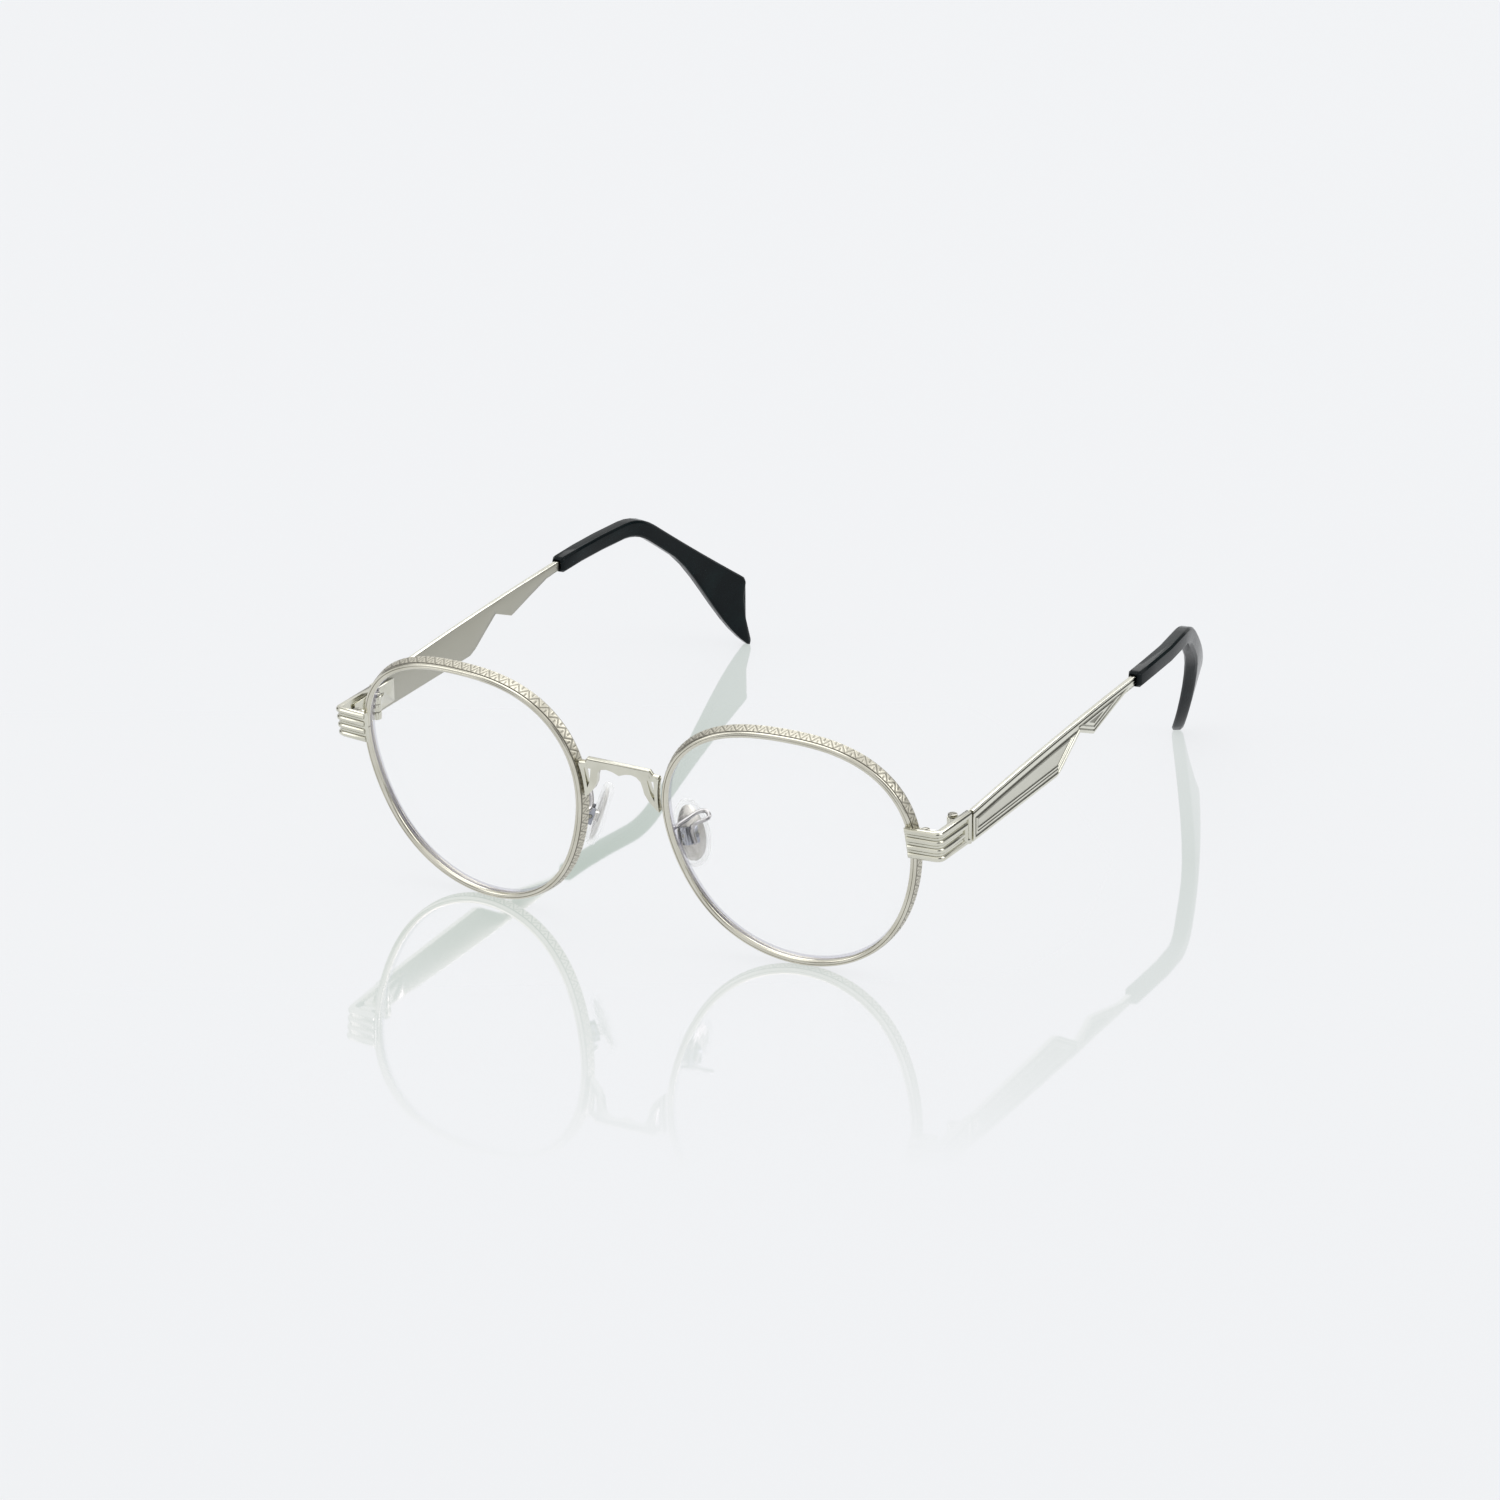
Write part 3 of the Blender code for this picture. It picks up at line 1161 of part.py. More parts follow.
def reach_along_y(names):
    """Return the lowest and highest Y of the named finished pieces."""
    bpy.context.view_layer.update()
    graph = bpy.context.evaluated_depsgraph_get()
    values = []
    for name in names:
        finished = bpy.data.objects[name].evaluated_get(graph)
        mesh = finished.to_mesh()
        values += [(finished.matrix_world @ vertex.co).y for vertex in mesh.vertices]
        finished.to_mesh_clear()
    return min(values), max(values)


def centre_between(names):
    """Shift everything along Y so that the named pieces reach equally far both ways."""
    low, high = reach_along_y(names)
    for item in bpy.context.scene.objects:
        if item.parent is None:
            item.location.y -= (low + high) / 2


def main():
    """Build every piece of the spectacles."""
    clear_scene()
    metal = make_material("champagne_metal", (0.62, 0.60, 0.53), 0.28, 1.0)
    band = make_material("rim_metal", (0.63, 0.58, 0.49), 0.32, 1.0)
    steel = make_material("screw_steel", (0.55, 0.55, 0.54), 0.25, 1.0)
    clear = make_material("lens_clear", (0.96, 0.97, 1.0), 0.02, 0.0, 0.3, 1.0)
    soft = make_material("pad_silicone", (0.95, 0.96, 0.96), 0.15, 0.0, 0.4, 0.8)
    black = make_material("tip_acetate", (0.006, 0.012, 0.013), 0.12, 0.0)
    make_bridge(metal)
    for side in (LEFT, RIGHT):
        temple_pivot = make_pivot("temple_pivot_" + SIDE_NAMES[side], hinge_frame(side))
        pad_axis = pad_frame(side) @ Matrix.Translation((side * LUG_SHIFT, 0, SCREW_LEVEL))
        pad_pivot = make_pivot("pad_pivot_" + SIDE_NAMES[side], pad_axis)
        make_rim(side, band)
        make_lens(side, clear)
        make_end_piece(side, metal)
        make_closing_block(side, True, metal)
        make_closing_block(side, False, metal)
        make_closing_screw(side, steel)
        make_front_hinge(side, metal)
        make_temple_hinge(side, metal, temple_pivot)
        make_hinge_screw(side, steel)
        make_pad_arm(side, metal)
        make_pad_box(side, metal)
        make_pad_screw(side, steel)
        make_nose_pad(side, soft, pad_pivot)
        make_pad_core(side, metal, pad_pivot)
        make_temple(side, metal, temple_pivot)
        make_temple_tip(side, black, temple_pivot)
    centre_between(["rim_left", "temple_tip_left"])


main()
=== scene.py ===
"""Looks of a pair of round wire spectacles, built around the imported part."""
import json
import logging
import math
from contextlib import contextmanager
from dataclasses import dataclass, field
from enum import Enum
from typing import Any, Iterator, Sequence

import bmesh
import bpy
import numpy as np
from mathutils import Matrix, Vector

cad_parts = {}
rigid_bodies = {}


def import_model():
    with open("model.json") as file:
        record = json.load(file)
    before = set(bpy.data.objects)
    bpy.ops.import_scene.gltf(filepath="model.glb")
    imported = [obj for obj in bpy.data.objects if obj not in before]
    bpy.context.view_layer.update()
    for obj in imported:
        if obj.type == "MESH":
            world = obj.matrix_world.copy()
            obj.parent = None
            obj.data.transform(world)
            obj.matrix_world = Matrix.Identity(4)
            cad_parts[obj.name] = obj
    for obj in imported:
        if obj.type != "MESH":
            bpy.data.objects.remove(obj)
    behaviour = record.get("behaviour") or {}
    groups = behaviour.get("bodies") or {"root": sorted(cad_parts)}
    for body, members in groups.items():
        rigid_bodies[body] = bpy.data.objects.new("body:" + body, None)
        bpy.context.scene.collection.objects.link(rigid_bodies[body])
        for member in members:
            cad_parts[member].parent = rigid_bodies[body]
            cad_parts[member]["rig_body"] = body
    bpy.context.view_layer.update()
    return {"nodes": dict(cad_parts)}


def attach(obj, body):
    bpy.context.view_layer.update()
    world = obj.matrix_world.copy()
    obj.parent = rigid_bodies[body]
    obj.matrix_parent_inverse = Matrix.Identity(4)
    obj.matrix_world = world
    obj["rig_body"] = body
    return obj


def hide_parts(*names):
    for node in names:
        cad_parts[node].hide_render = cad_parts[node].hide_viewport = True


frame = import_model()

logging.basicConfig(level=logging.INFO, format="%(name)s: %(message)s")
LOG = logging.getLogger("spectacles")

MM = 0.001

# The part's own measures, in metres and radians, that new pieces have to share with its solids
RIM_RADIUS = 24.6 * MM
RIM_TERMS = ((3, "sin", 0.042), (4, "cos", -0.0174), (2, "sin", -0.0112), (2, "cos", -0.0041))
RIM_CENTRE_X = 33.91083 * MM
RIM_CENTRE_Z = 26.30368 * MM
FRONT_TILT = math.radians(9.3)
FRONT_WRAP = math.radians(6.3)
FRONT_Y = -66.9218 * MM
SIDE_X = 64.89377 * MM
HINGE_Z = 31.40368 * MM

# How near two points are before they are merged
WELD = 1e-6

# The flatness and squareness at which two triangles become one face, and the angle of a needless edge
QUAD_FLATNESS = math.radians(12)
QUAD_SHAPE = math.radians(60)
NEEDLESS_EDGE = math.radians(0.3)

# The sockets of a Mix node that blends colours
MIX_FACTOR, MIX_FIRST, MIX_SECOND, MIX_RESULT = 0, 6, 7, 2

# The levels of noise between which a metal's tone changes
CLOUD_EDGE = (0.35, 0.7)

# The photograph's turn about the upright axis
VIEW_TURN = math.radians(28.6645)


class Side(Enum):
    """The wearer's side that a piece belongs to, as the sign of its X."""

    LEFT = 1
    RIGHT = -1

    @property
    def label(self) -> str:
        """Return the side's name as the nodes use it."""
        return self.name.lower()


# Shader expressions


class Wire:
    """A shader socket that takes part in expressions."""

    def __init__(self, graph: "Graph", socket: bpy.types.NodeSocket) -> None:
        """Wrap a socket of a graph."""
        self.graph = graph
        self.socket = socket

    def _math(self, operation: str, first: Any, second: Any) -> "Wire":
        """Return a Math node's result on two values or wires."""
        return self.graph.add("ShaderNodeMath", {"operation": operation}, {0: first, 1: second})

    def __add__(self, other: Any) -> "Wire":
        """Return this plus another."""
        return self._math("ADD", self, other)

    def __radd__(self, other: Any) -> "Wire":
        """Return another plus this."""
        return self._math("ADD", other, self)

    def __sub__(self, other: Any) -> "Wire":
        """Return this less another."""
        return self._math("SUBTRACT", self, other)

    def __rsub__(self, other: Any) -> "Wire":
        """Return another less this."""
        return self._math("SUBTRACT", other, self)

    def __mul__(self, other: Any) -> "Wire":
        """Return this times another."""
        return self._math("MULTIPLY", self, other)

    def __rmul__(self, other: Any) -> "Wire":
        """Return another times this."""
        return self._math("MULTIPLY", other, self)

    def limited(self) -> "Wire":
        """Return this held between 0 and 1."""
        return self.graph.add("ShaderNodeClamp", {}, {"Value": self})

    def between(self, low: float, high: float) -> "Wire":
        """Return 0 below low, 1 above high and a smooth rise between them."""
        return self.graph.add(
            "ShaderNodeMapRange",
            {"interpolation_type": "SMOOTHSTEP"},
            {"Value": self, "From Min": low, "From Max": high},
        )


class Graph:
    """A material's nodes, with its Principled shader and its output in place."""

    def __init__(self, name: str) -> None:
        """Make a material.

        Args:
            name: The finish's name in plain words.
        """
        self.material = bpy.data.materials.new(name)
        self._adopt(self.material, "Principled BSDF", "Material Output")

    def _adopt(self, owner: bpy.types.ID, shader: str, output: str) -> None:
        """Take over the node tree of a material or a world.

        Args:
            owner: The material or world.
            shader: The name of its main shader node.
            output: The name of its output node.
        """
        owner.use_nodes = True
        self.tree = owner.node_tree
        self.shader = self.tree.nodes[shader]
        self.output = self.tree.nodes[output]

    def add(self, kind: str, settings: dict | None = None, inputs: dict | None = None,
            output: Any = 0) -> Wire:
        """Add a node.

        Args:
            kind: The node's type.
            settings: Properties that are set first. The key "stops" fills a colour ramp.
            inputs: Values or wires for its sockets, by name or index.
            output: The socket that is returned, by name or index.

        Returns:
            The chosen output as a wire.
        """
        node = self.tree.nodes.new(kind)
        for key, value in (settings or {}).items():
            if key == "stops":
                self._fill_ramp(node.color_ramp, value)
            else:
                setattr(node, key, value)
        for key, value in (inputs or {}).items():
            self.plug(node.inputs[key], value)
        return Wire(self, node.outputs[output])

    def plug(self, socket: bpy.types.NodeSocket, value: Any) -> None:
        """Link a wire to a socket, or set the socket's own value.

        Args:
            socket: The input that is filled.
            value: A wire or a plain value.
        """
        if isinstance(value, Wire):
            self.tree.links.new(value.socket, socket)
        else:
            socket.default_value = value

    def _fill_ramp(self, ramp: bpy.types.ColorRamp, stops: Sequence[tuple]) -> None:
        """Give a colour ramp its stops.

        Args:
            ramp: The ramp of a new node.
            stops: A position and a grey level or a colour for each stop.
        """
        while len(ramp.elements) < len(stops):
            ramp.elements.new(0.5)
        for element, (position, value) in zip(ramp.elements, stops):
            element.position = position
            element.color = (*value, 1.0) if isinstance(value, tuple) else (value, value, value, 1.0)

    def place(self) -> Wire:
        """Return the surface point in the object's own metres."""
        return self.add("ShaderNodeTexCoord", output="Object")

    def stored(self, name: str) -> Wire:
        """Return a value that the piece's mesh carries at each point."""
        return self.add("ShaderNodeAttribute", {"attribute_name": name}, output="Fac")

    def stretched(self, scale: Sequence[float]) -> Wire:
        """Return the surface point scaled by a Mapping node."""
        return self.add("ShaderNodeMapping", {}, {"Vector": self.place(), "Scale": scale})

    def noise(self, vector: Wire, scale: float, detail: float = 3.0, rough: float = 0.5) -> Wire:
        """Return noise from 0 to 1."""
        return self.add("ShaderNodeTexNoise", {},
                        {"Vector": vector, "Scale": scale, "Detail": detail, "Roughness": rough})

    def colour(self, factor: Any, first: Any, second: Any) -> Wire:
        """Blend two colours.

        Args:
            factor: The share of the second colour.
            first: A wire, or a plain red, green and blue.
            second: The same for the other colour.

        Returns:
            The blend.
        """
        first = first if isinstance(first, Wire) else (*first, 1.0)
        second = second if isinstance(second, Wire) else (*second, 1.0)
        return self.add("ShaderNodeMix", {"data_type": "RGBA", "clamp_factor": True},
                        {MIX_FACTOR: factor, MIX_FIRST: first, MIX_SECOND: second}, MIX_RESULT)

    def bump(self, height: Wire, strength: float, distance: float) -> Wire:
        """Return a normal that a height field bends."""
        return self.add("ShaderNodeBump", {},
                        {"Height": height, "Strength": strength, "Distance": distance})

    def dress(self, **sockets: Any) -> bpy.types.Material:
        """Fill the Principled shader's sockets.

        Args:
            **sockets: Values or wires by socket name, with underscores for spaces.

        Returns:
            The finished material.
        """
        for name, value in sockets.items():
            self.plug(self.shader.inputs[name.replace("_", " ")], value)
        return self.material


# Finishes


@dataclass(frozen=True)
class PolishedMetal:
    """Plated nickel silver: warm and pale, with polishing hairlines and painted shade in its corners and
    slots.

    Attributes:
        name: The finish's name.
        colour: The plating's colour.
        tone: The colour of its slightly darker clouds.
        recess: The colour in corners and slots.
        roughness: The roughness of clean plating.
        cloud_scale: The fineness of the clouds.
        cloud_rough: How much they change the roughness.
        hairline: How much the hairlines are squeezed along each axis.
        hair_scale: Their fineness.
        hair_rough: How much they change the roughness.
        hair_bump: The strength of their relief.
        hair_height: The height of their relief.
        painted_shade_reach: How near another face has to be for a hollow to get painted shade.
        recess: The colour of the painted shade in corners and slots.
        painted_shade_cover: How much of the open space is hidden where the painted shade starts and where
            it is full.
        painted_shade_depth: The share of the painted shade colour in a full hollow.
        recess_rough: How much rougher a full hollow is.
    """

    name: str
    colour: tuple[float, float, float]
    tone: tuple[float, float, float]
    recess: tuple[float, float, float]
    roughness: float = 0.16
    cloud_scale: float = 140.0
    cloud_rough: float = 0.08
    hairline: tuple[float, float, float] = (900.0, 220.0, 900.0)
    hair_scale: float = 6.0
    hair_rough: float = 0.12
    hair_bump: float = 0.12
    hair_height: float = 0.02 * MM
    painted_shade_reach: float = 0.4 * MM
    painted_shade_cover: tuple[float, float] = (0.12, 0.6)
    painted_shade_depth: float = 0.8
    recess_rough: float = 0.12

    def build(self) -> bpy.types.Material:
        """Make the finish.

        Returns:
            The material.
        """
        graph = Graph(self.name)
        cloud = graph.noise(graph.place(), self.cloud_scale)
        hair = graph.noise(graph.stretched(self.hairline), self.hair_scale, detail=5.0, rough=0.65)
        # Painted shade: ambient occlusion darkens corners and slots towards the shade colour.
        openness = graph.add("ShaderNodeAmbientOcclusion", {"samples": 8, "only_local": True},
                             {"Distance": self.painted_shade_reach}, "AO")
        sunk = (1.0 - openness).between(*self.painted_shade_cover)
        plated = graph.colour(cloud.between(*CLOUD_EDGE), self.colour, self.tone)
        shown = graph.colour(sunk * self.painted_shade_depth, plated, self.recess)
        rough = self.roughness + (hair - 0.5) * self.hair_rough + (cloud - 0.5) * self.cloud_rough
        rough = rough + sunk * self.recess_rough
        normal = graph.bump(hair, self.hair_bump, self.hair_height)
        return graph.dress(Base_Color=shown, Metallic=1.0, Roughness=rough.limited(), Normal=normal)


@dataclass(frozen=True)
class EngravedMetal:
    """Bright plating whose other areas are read from values that the piece's own mesh carries.

    Attributes:
        name: The finish's name.
        band: The colour of the areas that "band" marks: the rims' engraved band, and painted shade on the
            temples' inner faces.
        stroke: The colour of those that "stroke" marks: painted shade in the rims' engraved strokes, and
            the temples' satin field.
        recess: The colour of the painted shade on the areas that "recess" marks, which lie deep.
        colour: The plating's colour.
        tone: The colour of its slightly darker clouds.
        roughness: The roughness of the plating.
        band_rough: How much rougher the band is.
        stroke_rough: How much rougher the strokes are.
        stroke_cover: The least share of the stroke colour, and how much the clouds add to it.
        painted_shade_depth: The share of the painted shade colour.
        cloud_scale: The fineness of the clouds.
        grain_scale: The fineness of the grain.
        grain_rough: How much the grain changes the roughness.
        grain_bump: The strength of the grain's relief.
        grain_height: The height of that relief.
        grain_share: How much of the grain plating has, and how much more a stroke has.
    """

    name: str
    band: tuple[float, float, float]
    stroke: tuple[float, float, float]
    recess: tuple[float, float, float] = (0.10, 0.09, 0.07)
    colour: tuple[float, float, float] = (0.67, 0.65, 0.56)
    tone: tuple[float, float, float] = (0.60, 0.58, 0.49)
    roughness: float = 0.15
    band_rough: float = 0.17
    stroke_rough: float = 0.12
    stroke_cover: tuple[float, float] = (0.5, 0.45)
    painted_shade_depth: float = 0.85
    cloud_scale: float = 160.0
    grain_scale: float = 5200.0
    grain_rough: float = 0.14
    grain_bump: float = 0.25
    grain_height: float = 0.015 * MM
    grain_share: tuple[float, float] = (0.2, 0.4)

    def build(self) -> bpy.types.Material:
        """Make the finish.

        Returns:
            The material.
        """
        graph = Graph(self.name)
        band, stroke, recess = [graph.stored(name) for name in ("band", "stroke", "recess")]
        cloud = graph.noise(graph.place(), self.cloud_scale)
        grain = graph.noise(graph.place(), self.grain_scale, detail=4.0, rough=0.7)
        plated = graph.colour(cloud.between(*CLOUD_EDGE), self.colour, self.tone)
        base = graph.colour(band, plated, self.band)
        least, clouded = self.stroke_cover
        toned = graph.colour(stroke * (least + cloud * clouded), base, self.stroke)
        # Painted shade: the marked notches, lines, grooves and eyes take a dark colour.
        shown = graph.colour(recess * self.painted_shade_depth, toned, self.recess)
        rough = self.roughness + band * self.band_rough + stroke * self.stroke_rough
        rough = rough + (grain - 0.5) * self.grain_rough
        plain, struck = self.grain_share
        normal = graph.bump(grain * (plain + band + stroke * struck), self.grain_bump, self.grain_height)
        return graph.dress(Base_Color=shown, Metallic=1.0, Roughness=rough.limited(), Normal=normal)


@dataclass(frozen=True)
class ClearLens:
    """A thin demonstration lens, clear but for a painted reflection of the rim, lilac from the coating,
    where its bevel enters the rim.

    Attributes:
        name: The finish's name.
        glass: The colour of the open lens.
        coated_rim_reflection: The colour of the line: a painted reflection of the rim, lilac from the lens
            coating.
        line: The shares of the radius between which the line comes up.
        rim_reflection_alpha: How much the line, a painted reflection of the rim, covers.
        clear: How much the open lens covers.
        smear_scale: The fineness of the wiping smears.
        smear_alpha: How much they cover.
        smear_tint: How much of the line's colour they take.
        roughness: The roughness of the clean surface.
        smear_rough: How much rougher a smear is.
        index: The refractive index.
    """

    name: str = "coated_lens"
    glass: tuple[float, float, float] = (0.96, 0.98, 1.0)
    coated_rim_reflection: tuple[float, float, float] = (0.36, 0.34, 0.50)
    line: tuple[float, float] = (0.981, 0.996)
    rim_reflection_alpha: float = 0.32
    clear: float = 0.018
    smear_scale: float = 55.0
    smear_alpha: float = 0.008
    smear_tint: float = 0.05
    roughness: float = 0.03
    smear_rough: float = 0.05
    index: float = 1.5

    def build(self) -> bpy.types.Material:
        """Make the finish.

        Returns:
            The material.
        """
        graph = Graph(self.name)
        edge = graph.stored("edge")
        smear = graph.noise(graph.stretched((1.0, 1.0, 2.2)), self.smear_scale, detail=4.0, rough=0.6)
        # The line near the edge is a painted reflection of the rim, tinted lilac by the coating.
        line = edge.between(*self.line)
        tint = graph.colour((line + smear * self.smear_tint).limited(), self.glass, self.coated_rim_reflection)
        alpha = self.clear + smear * self.smear_alpha + line * self.rim_reflection_alpha
        rough = self.roughness + smear.between(0.5, 0.8) * self.smear_rough
        return graph.dress(Base_Color=tint, Alpha=alpha, Roughness=rough, IOR=self.index)


@dataclass(frozen=True)
class SoftSilicone:
    """Clear nose pad silicone, with a whitish painted sheen at its rounded edge.

    Attributes:
        name: The finish's name.
        body: The colour of the middle.
        edge_sheen: The whitish colour of the painted sheen at the edge.
        sheen_shares: The shares of the way out between which the painted sheen comes up.
        wall: Those between which the edge comes up.
        wall_alpha: How much more the edge covers.
        clear: How much the middle covers.
        haze_alpha: How much the haze changes that.
        roughness: The least roughness, and what the haze adds at most.
        skin_bump: The strength of the moulded skin's relief.
        skin_height: The height of that relief.
        index: The refractive index.
    """

    name: str = "pad_silicone"
    body: tuple[float, float, float] = (0.88, 0.89, 0.93)
    edge_sheen: tuple[float, float, float] = (0.97, 0.98, 0.98)
    sheen_shares: tuple[float, float] = (0.4, 1.0)
    wall: tuple[float, float] = (0.84, 0.97)
    wall_alpha: float = 0.3
    clear: float = 0.05
    haze_alpha: float = 0.05
    roughness: float = 0.08
    skin_bump: float = 0.06
    skin_height: float = 0.02 * MM
    index: float = 1.41

    def build(self) -> bpy.types.Material:
        """Make the finish.

        Returns:
            The material.
        """
        graph = Graph(self.name)
        edge = graph.stored("edge")
        haze = graph.noise(graph.place(), 700.0)
        # Painted sheen: the rounded edge turns whitish.
        shown = graph.colour(edge.between(*self.sheen_shares), self.body, self.edge_sheen)
        alpha = self.clear + edge.between(*self.wall) * self.wall_alpha + (haze - 0.5) * self.haze_alpha
        rough = self.roughness + haze * self.roughness
        skin = graph.noise(graph.place(), 2600.0, detail=2.0)
        normal = graph.bump(skin, self.skin_bump, self.skin_height)
        return graph.dress(Base_Color=shown, Alpha=alpha.limited(), Roughness=rough, IOR=self.index,
                           Normal=normal)


@dataclass(frozen=True)
class PolishedAcetate:
    """Black cellulose acetate, buffed to a gloss, with a deep green cast and soft polishing waves.

    Attributes:
        name: The finish's name.
        black: The main colour.
        cast: The colour of the marbling.
        gloss: The strength of its plain reflections.
        coat: The share of buffed gloss behind the collar.
        coat_rough: The roughness of that gloss.
        roughness: The roughness of the clean surface.
        swirl_rough: How much rougher a polishing swirl is.
        collar: Where the buffed stretch starts, on the object's Y.
        collar_soft: How far before that it comes up.
        wave_bump: The strength of the polishing waves.
        wave_height: Their height.
        index: The refractive index.
    """

    name: str
    black: tuple[float, float, float] = (0.0025, 0.005, 0.006)
    cast: tuple[float, float, float] = (0.004, 0.010, 0.011)
    gloss: float = 0.12
    coat: float = 0.0
    coat_rough: float = 0.09
    roughness: float = 0.14
    swirl_rough: float = 0.07
    collar: float = 18.6 * MM
    collar_soft: float = 0.3 * MM
    wave_bump: float = 0.1
    wave_height: float = 0.1 * MM
    index: float = 1.45

    def build(self) -> bpy.types.Material:
        """Make the finish.

        Returns:
            The material.
        """
        graph = Graph(self.name)
        marble = graph.noise(graph.stretched((1.0, 0.35, 1.0)), 260.0, detail=5.0, rough=0.6)
        swirl = graph.noise(graph.place(), 900.0, detail=4.0, rough=0.6)
        shown = graph.colour(marble.between(0.4, 0.75), self.black, self.cast)
        rough = self.roughness + swirl.between(0.45, 0.8) * self.swirl_rough
        wave = graph.noise(graph.place(), 120.0, detail=2.0)
        normal = graph.bump(wave, self.wave_bump, self.wave_height)
        back = graph.add("ShaderNodeSeparateXYZ", {}, {"Vector": graph.place()}, "Y")
        buffed = back.between(self.collar - self.collar_soft, self.collar) * self.coat
        return graph.dress(Base_Color=shown, Roughness=rough, IOR=self.index,
                           Specular_IOR_Level=self.gloss, Coat_Weight=buffed,
                           Coat_Roughness=self.coat_rough, Normal=normal)


@dataclass(frozen=True)
class StudioFloor:
    """The pale glossy table, with a soft shadow and a mirror image that fades towards the front.

    Attributes:
        even: The colour that the open floor shows all over.
        daylight: What the lit surface adds to that colour.
        shown: The share of its own glow that the camera sees.
        tint: The colour of the mirror image.
        sky: The level of the surroundings that the floor mirrors.
        most: The strongest share of the mirror image.
        reach: The distances towards the camera at which its strength starts and ends its course.
        shares: Its strength, as stops along that course.
        aside: The distances to the right between which it weakens.
        weaker: How much it weakens there.
        facing: How steeply the floor may be seen before it stops mirroring, and where it mirrors in full.
        shine_rough: The roughness of the mirror image.
        glow_steps: The steps in which the glow makes up for the mirror.
        matt: The two colours of the surface itself.
        matt_rough: Its roughness.
    """

    even: tuple[float, float, float] = (0.896, 0.905, 0.921)
    daylight: float = 0.168
    shown: float = 0.86
    tint: tuple[float, float, float] = (0.98, 0.84, 1.0)
    sky: float = 0.905
    most: float = 0.42
    reach: tuple[float, float] = (0.155, -0.1)
    shares: tuple = ((0.0, 0.0), (0.241, 0.55), (0.377, 0.86), (0.51, 1.0), (0.667, 0.84),
                     (0.822, 0.68), (1.0, 0.6))
    aside: tuple[float, float] = (0.03, 0.075)
    weaker: float = 0.42
    facing: tuple[float, float] = (0.33, 0.48)
    shine_rough: float = 0.03
    glow_steps: int = 5
    matt: tuple = ((0.882, 0.893, 0.905), (0.90, 0.92, 0.94))
    matt_rough: float = 0.6

    def under(self, share: float) -> tuple[float, ...]:
        """Return the glow that keeps the open floor even where the mirror takes this share."""
        return tuple(((even - share * tint * self.sky) / (1 - share) - self.daylight) / self.shown
                     for even, tint in zip(self.even, self.tint))

    def mirror(self, graph: Graph, camera: Wire) -> Wire:
        """Work out how strongly each place of the floor mirrors.

        Args:
            graph: The floor's nodes.
            camera: Whether the camera sees the floor directly.

        Returns:
            A share of the strongest mirror image.
        """
        split = graph.add("ShaderNodeSeparateXYZ", {}, {"Vector": graph.place()})
        beside = Wire(graph, split.socket.node.outputs["Y"])
        ahead = split * math.sin(VIEW_TURN) - beside * math.cos(VIEW_TURN)
        aside = split * math.cos(VIEW_TURN) + beside * math.sin(VIEW_TURN)
        start, end = self.reach
        along = graph.add("ShaderNodeMapRange", {}, {"Value": ahead, "From Min": start, "From Max": end})
        fade = graph.add("ShaderNodeValToRGB", {"stops": self.shares}, {"Fac": along})
        facing = graph.add("ShaderNodeLayerWeight", {}, {"Blend": 0.5}, "Facing")
        weaker = 1.0 - aside.between(*self.aside) * self.weaker
        return camera * fade * weaker * facing.between(*self.facing)

    def build(self) -> bpy.types.Material:
        """Make the finish.

        Returns:
            The material.
        """
        graph = Graph("studio_floor")
        path = graph.tree.nodes.new("ShaderNodeLightPath")
        camera = Wire(graph, path.outputs["Is Camera Ray"])
        glossy = Wire(graph, path.outputs["Is Glossy Ray"])
        through = Wire(graph, path.outputs["Is Transmission Ray"])
        seen = (camera + glossy + through).limited()
        share = self.mirror(graph, camera)
        steps = [step / self.glow_steps for step in range(self.glow_steps + 1)]
        stops = [(step, self.under(self.most * step)) for step in steps]
        glowing = graph.add("ShaderNodeValToRGB", {"stops": stops}, {"Fac": share})
        glow = graph.add("ShaderNodeEmission", {}, {"Strength": 1.0, "Color": glowing})
        mist = graph.noise(graph.place(), 3.0, detail=2.0)
        graph.dress(Base_Color=graph.colour(mist, *self.matt), Roughness=self.matt_rough)
        surface = Wire(graph, graph.shader.outputs[0])
        base = graph.add("ShaderNodeMixShader", {}, {0: seen * self.shown, 1: surface, 2: glow})
        shine = graph.add("ShaderNodeBsdfGlossy", {"distribution": "GGX"},
                          {"Color": (*self.tint, 1.0), "Roughness": self.shine_rough})
        floor = graph.add("ShaderNodeMixShader", {}, {0: share * self.most, 1: base, 2: shine})
        graph.tree.links.new(floor.socket, graph.output.inputs["Surface"])
        return graph.material


@dataclass(frozen=True)
class Card:
    """A round dark card in the studio's surroundings, which the metal reflects.

    Attributes:
        towards: The direction in which it hangs.
        inner: The angle from its middle, in degrees, up to which it is fully dark.
        outer: The angle at which it ends.
        depth: The share of the light that it holds back.
    """

    towards: tuple[float, float, float]
    inner: float
    outer: float
    depth: float

    @property
    def edge(self) -> tuple[float, float]:
        """Return the cosines of the angles at which the card ends and is fully dark."""
        return math.cos(math.radians(self.outer)), math.cos(math.radians(self.inner))


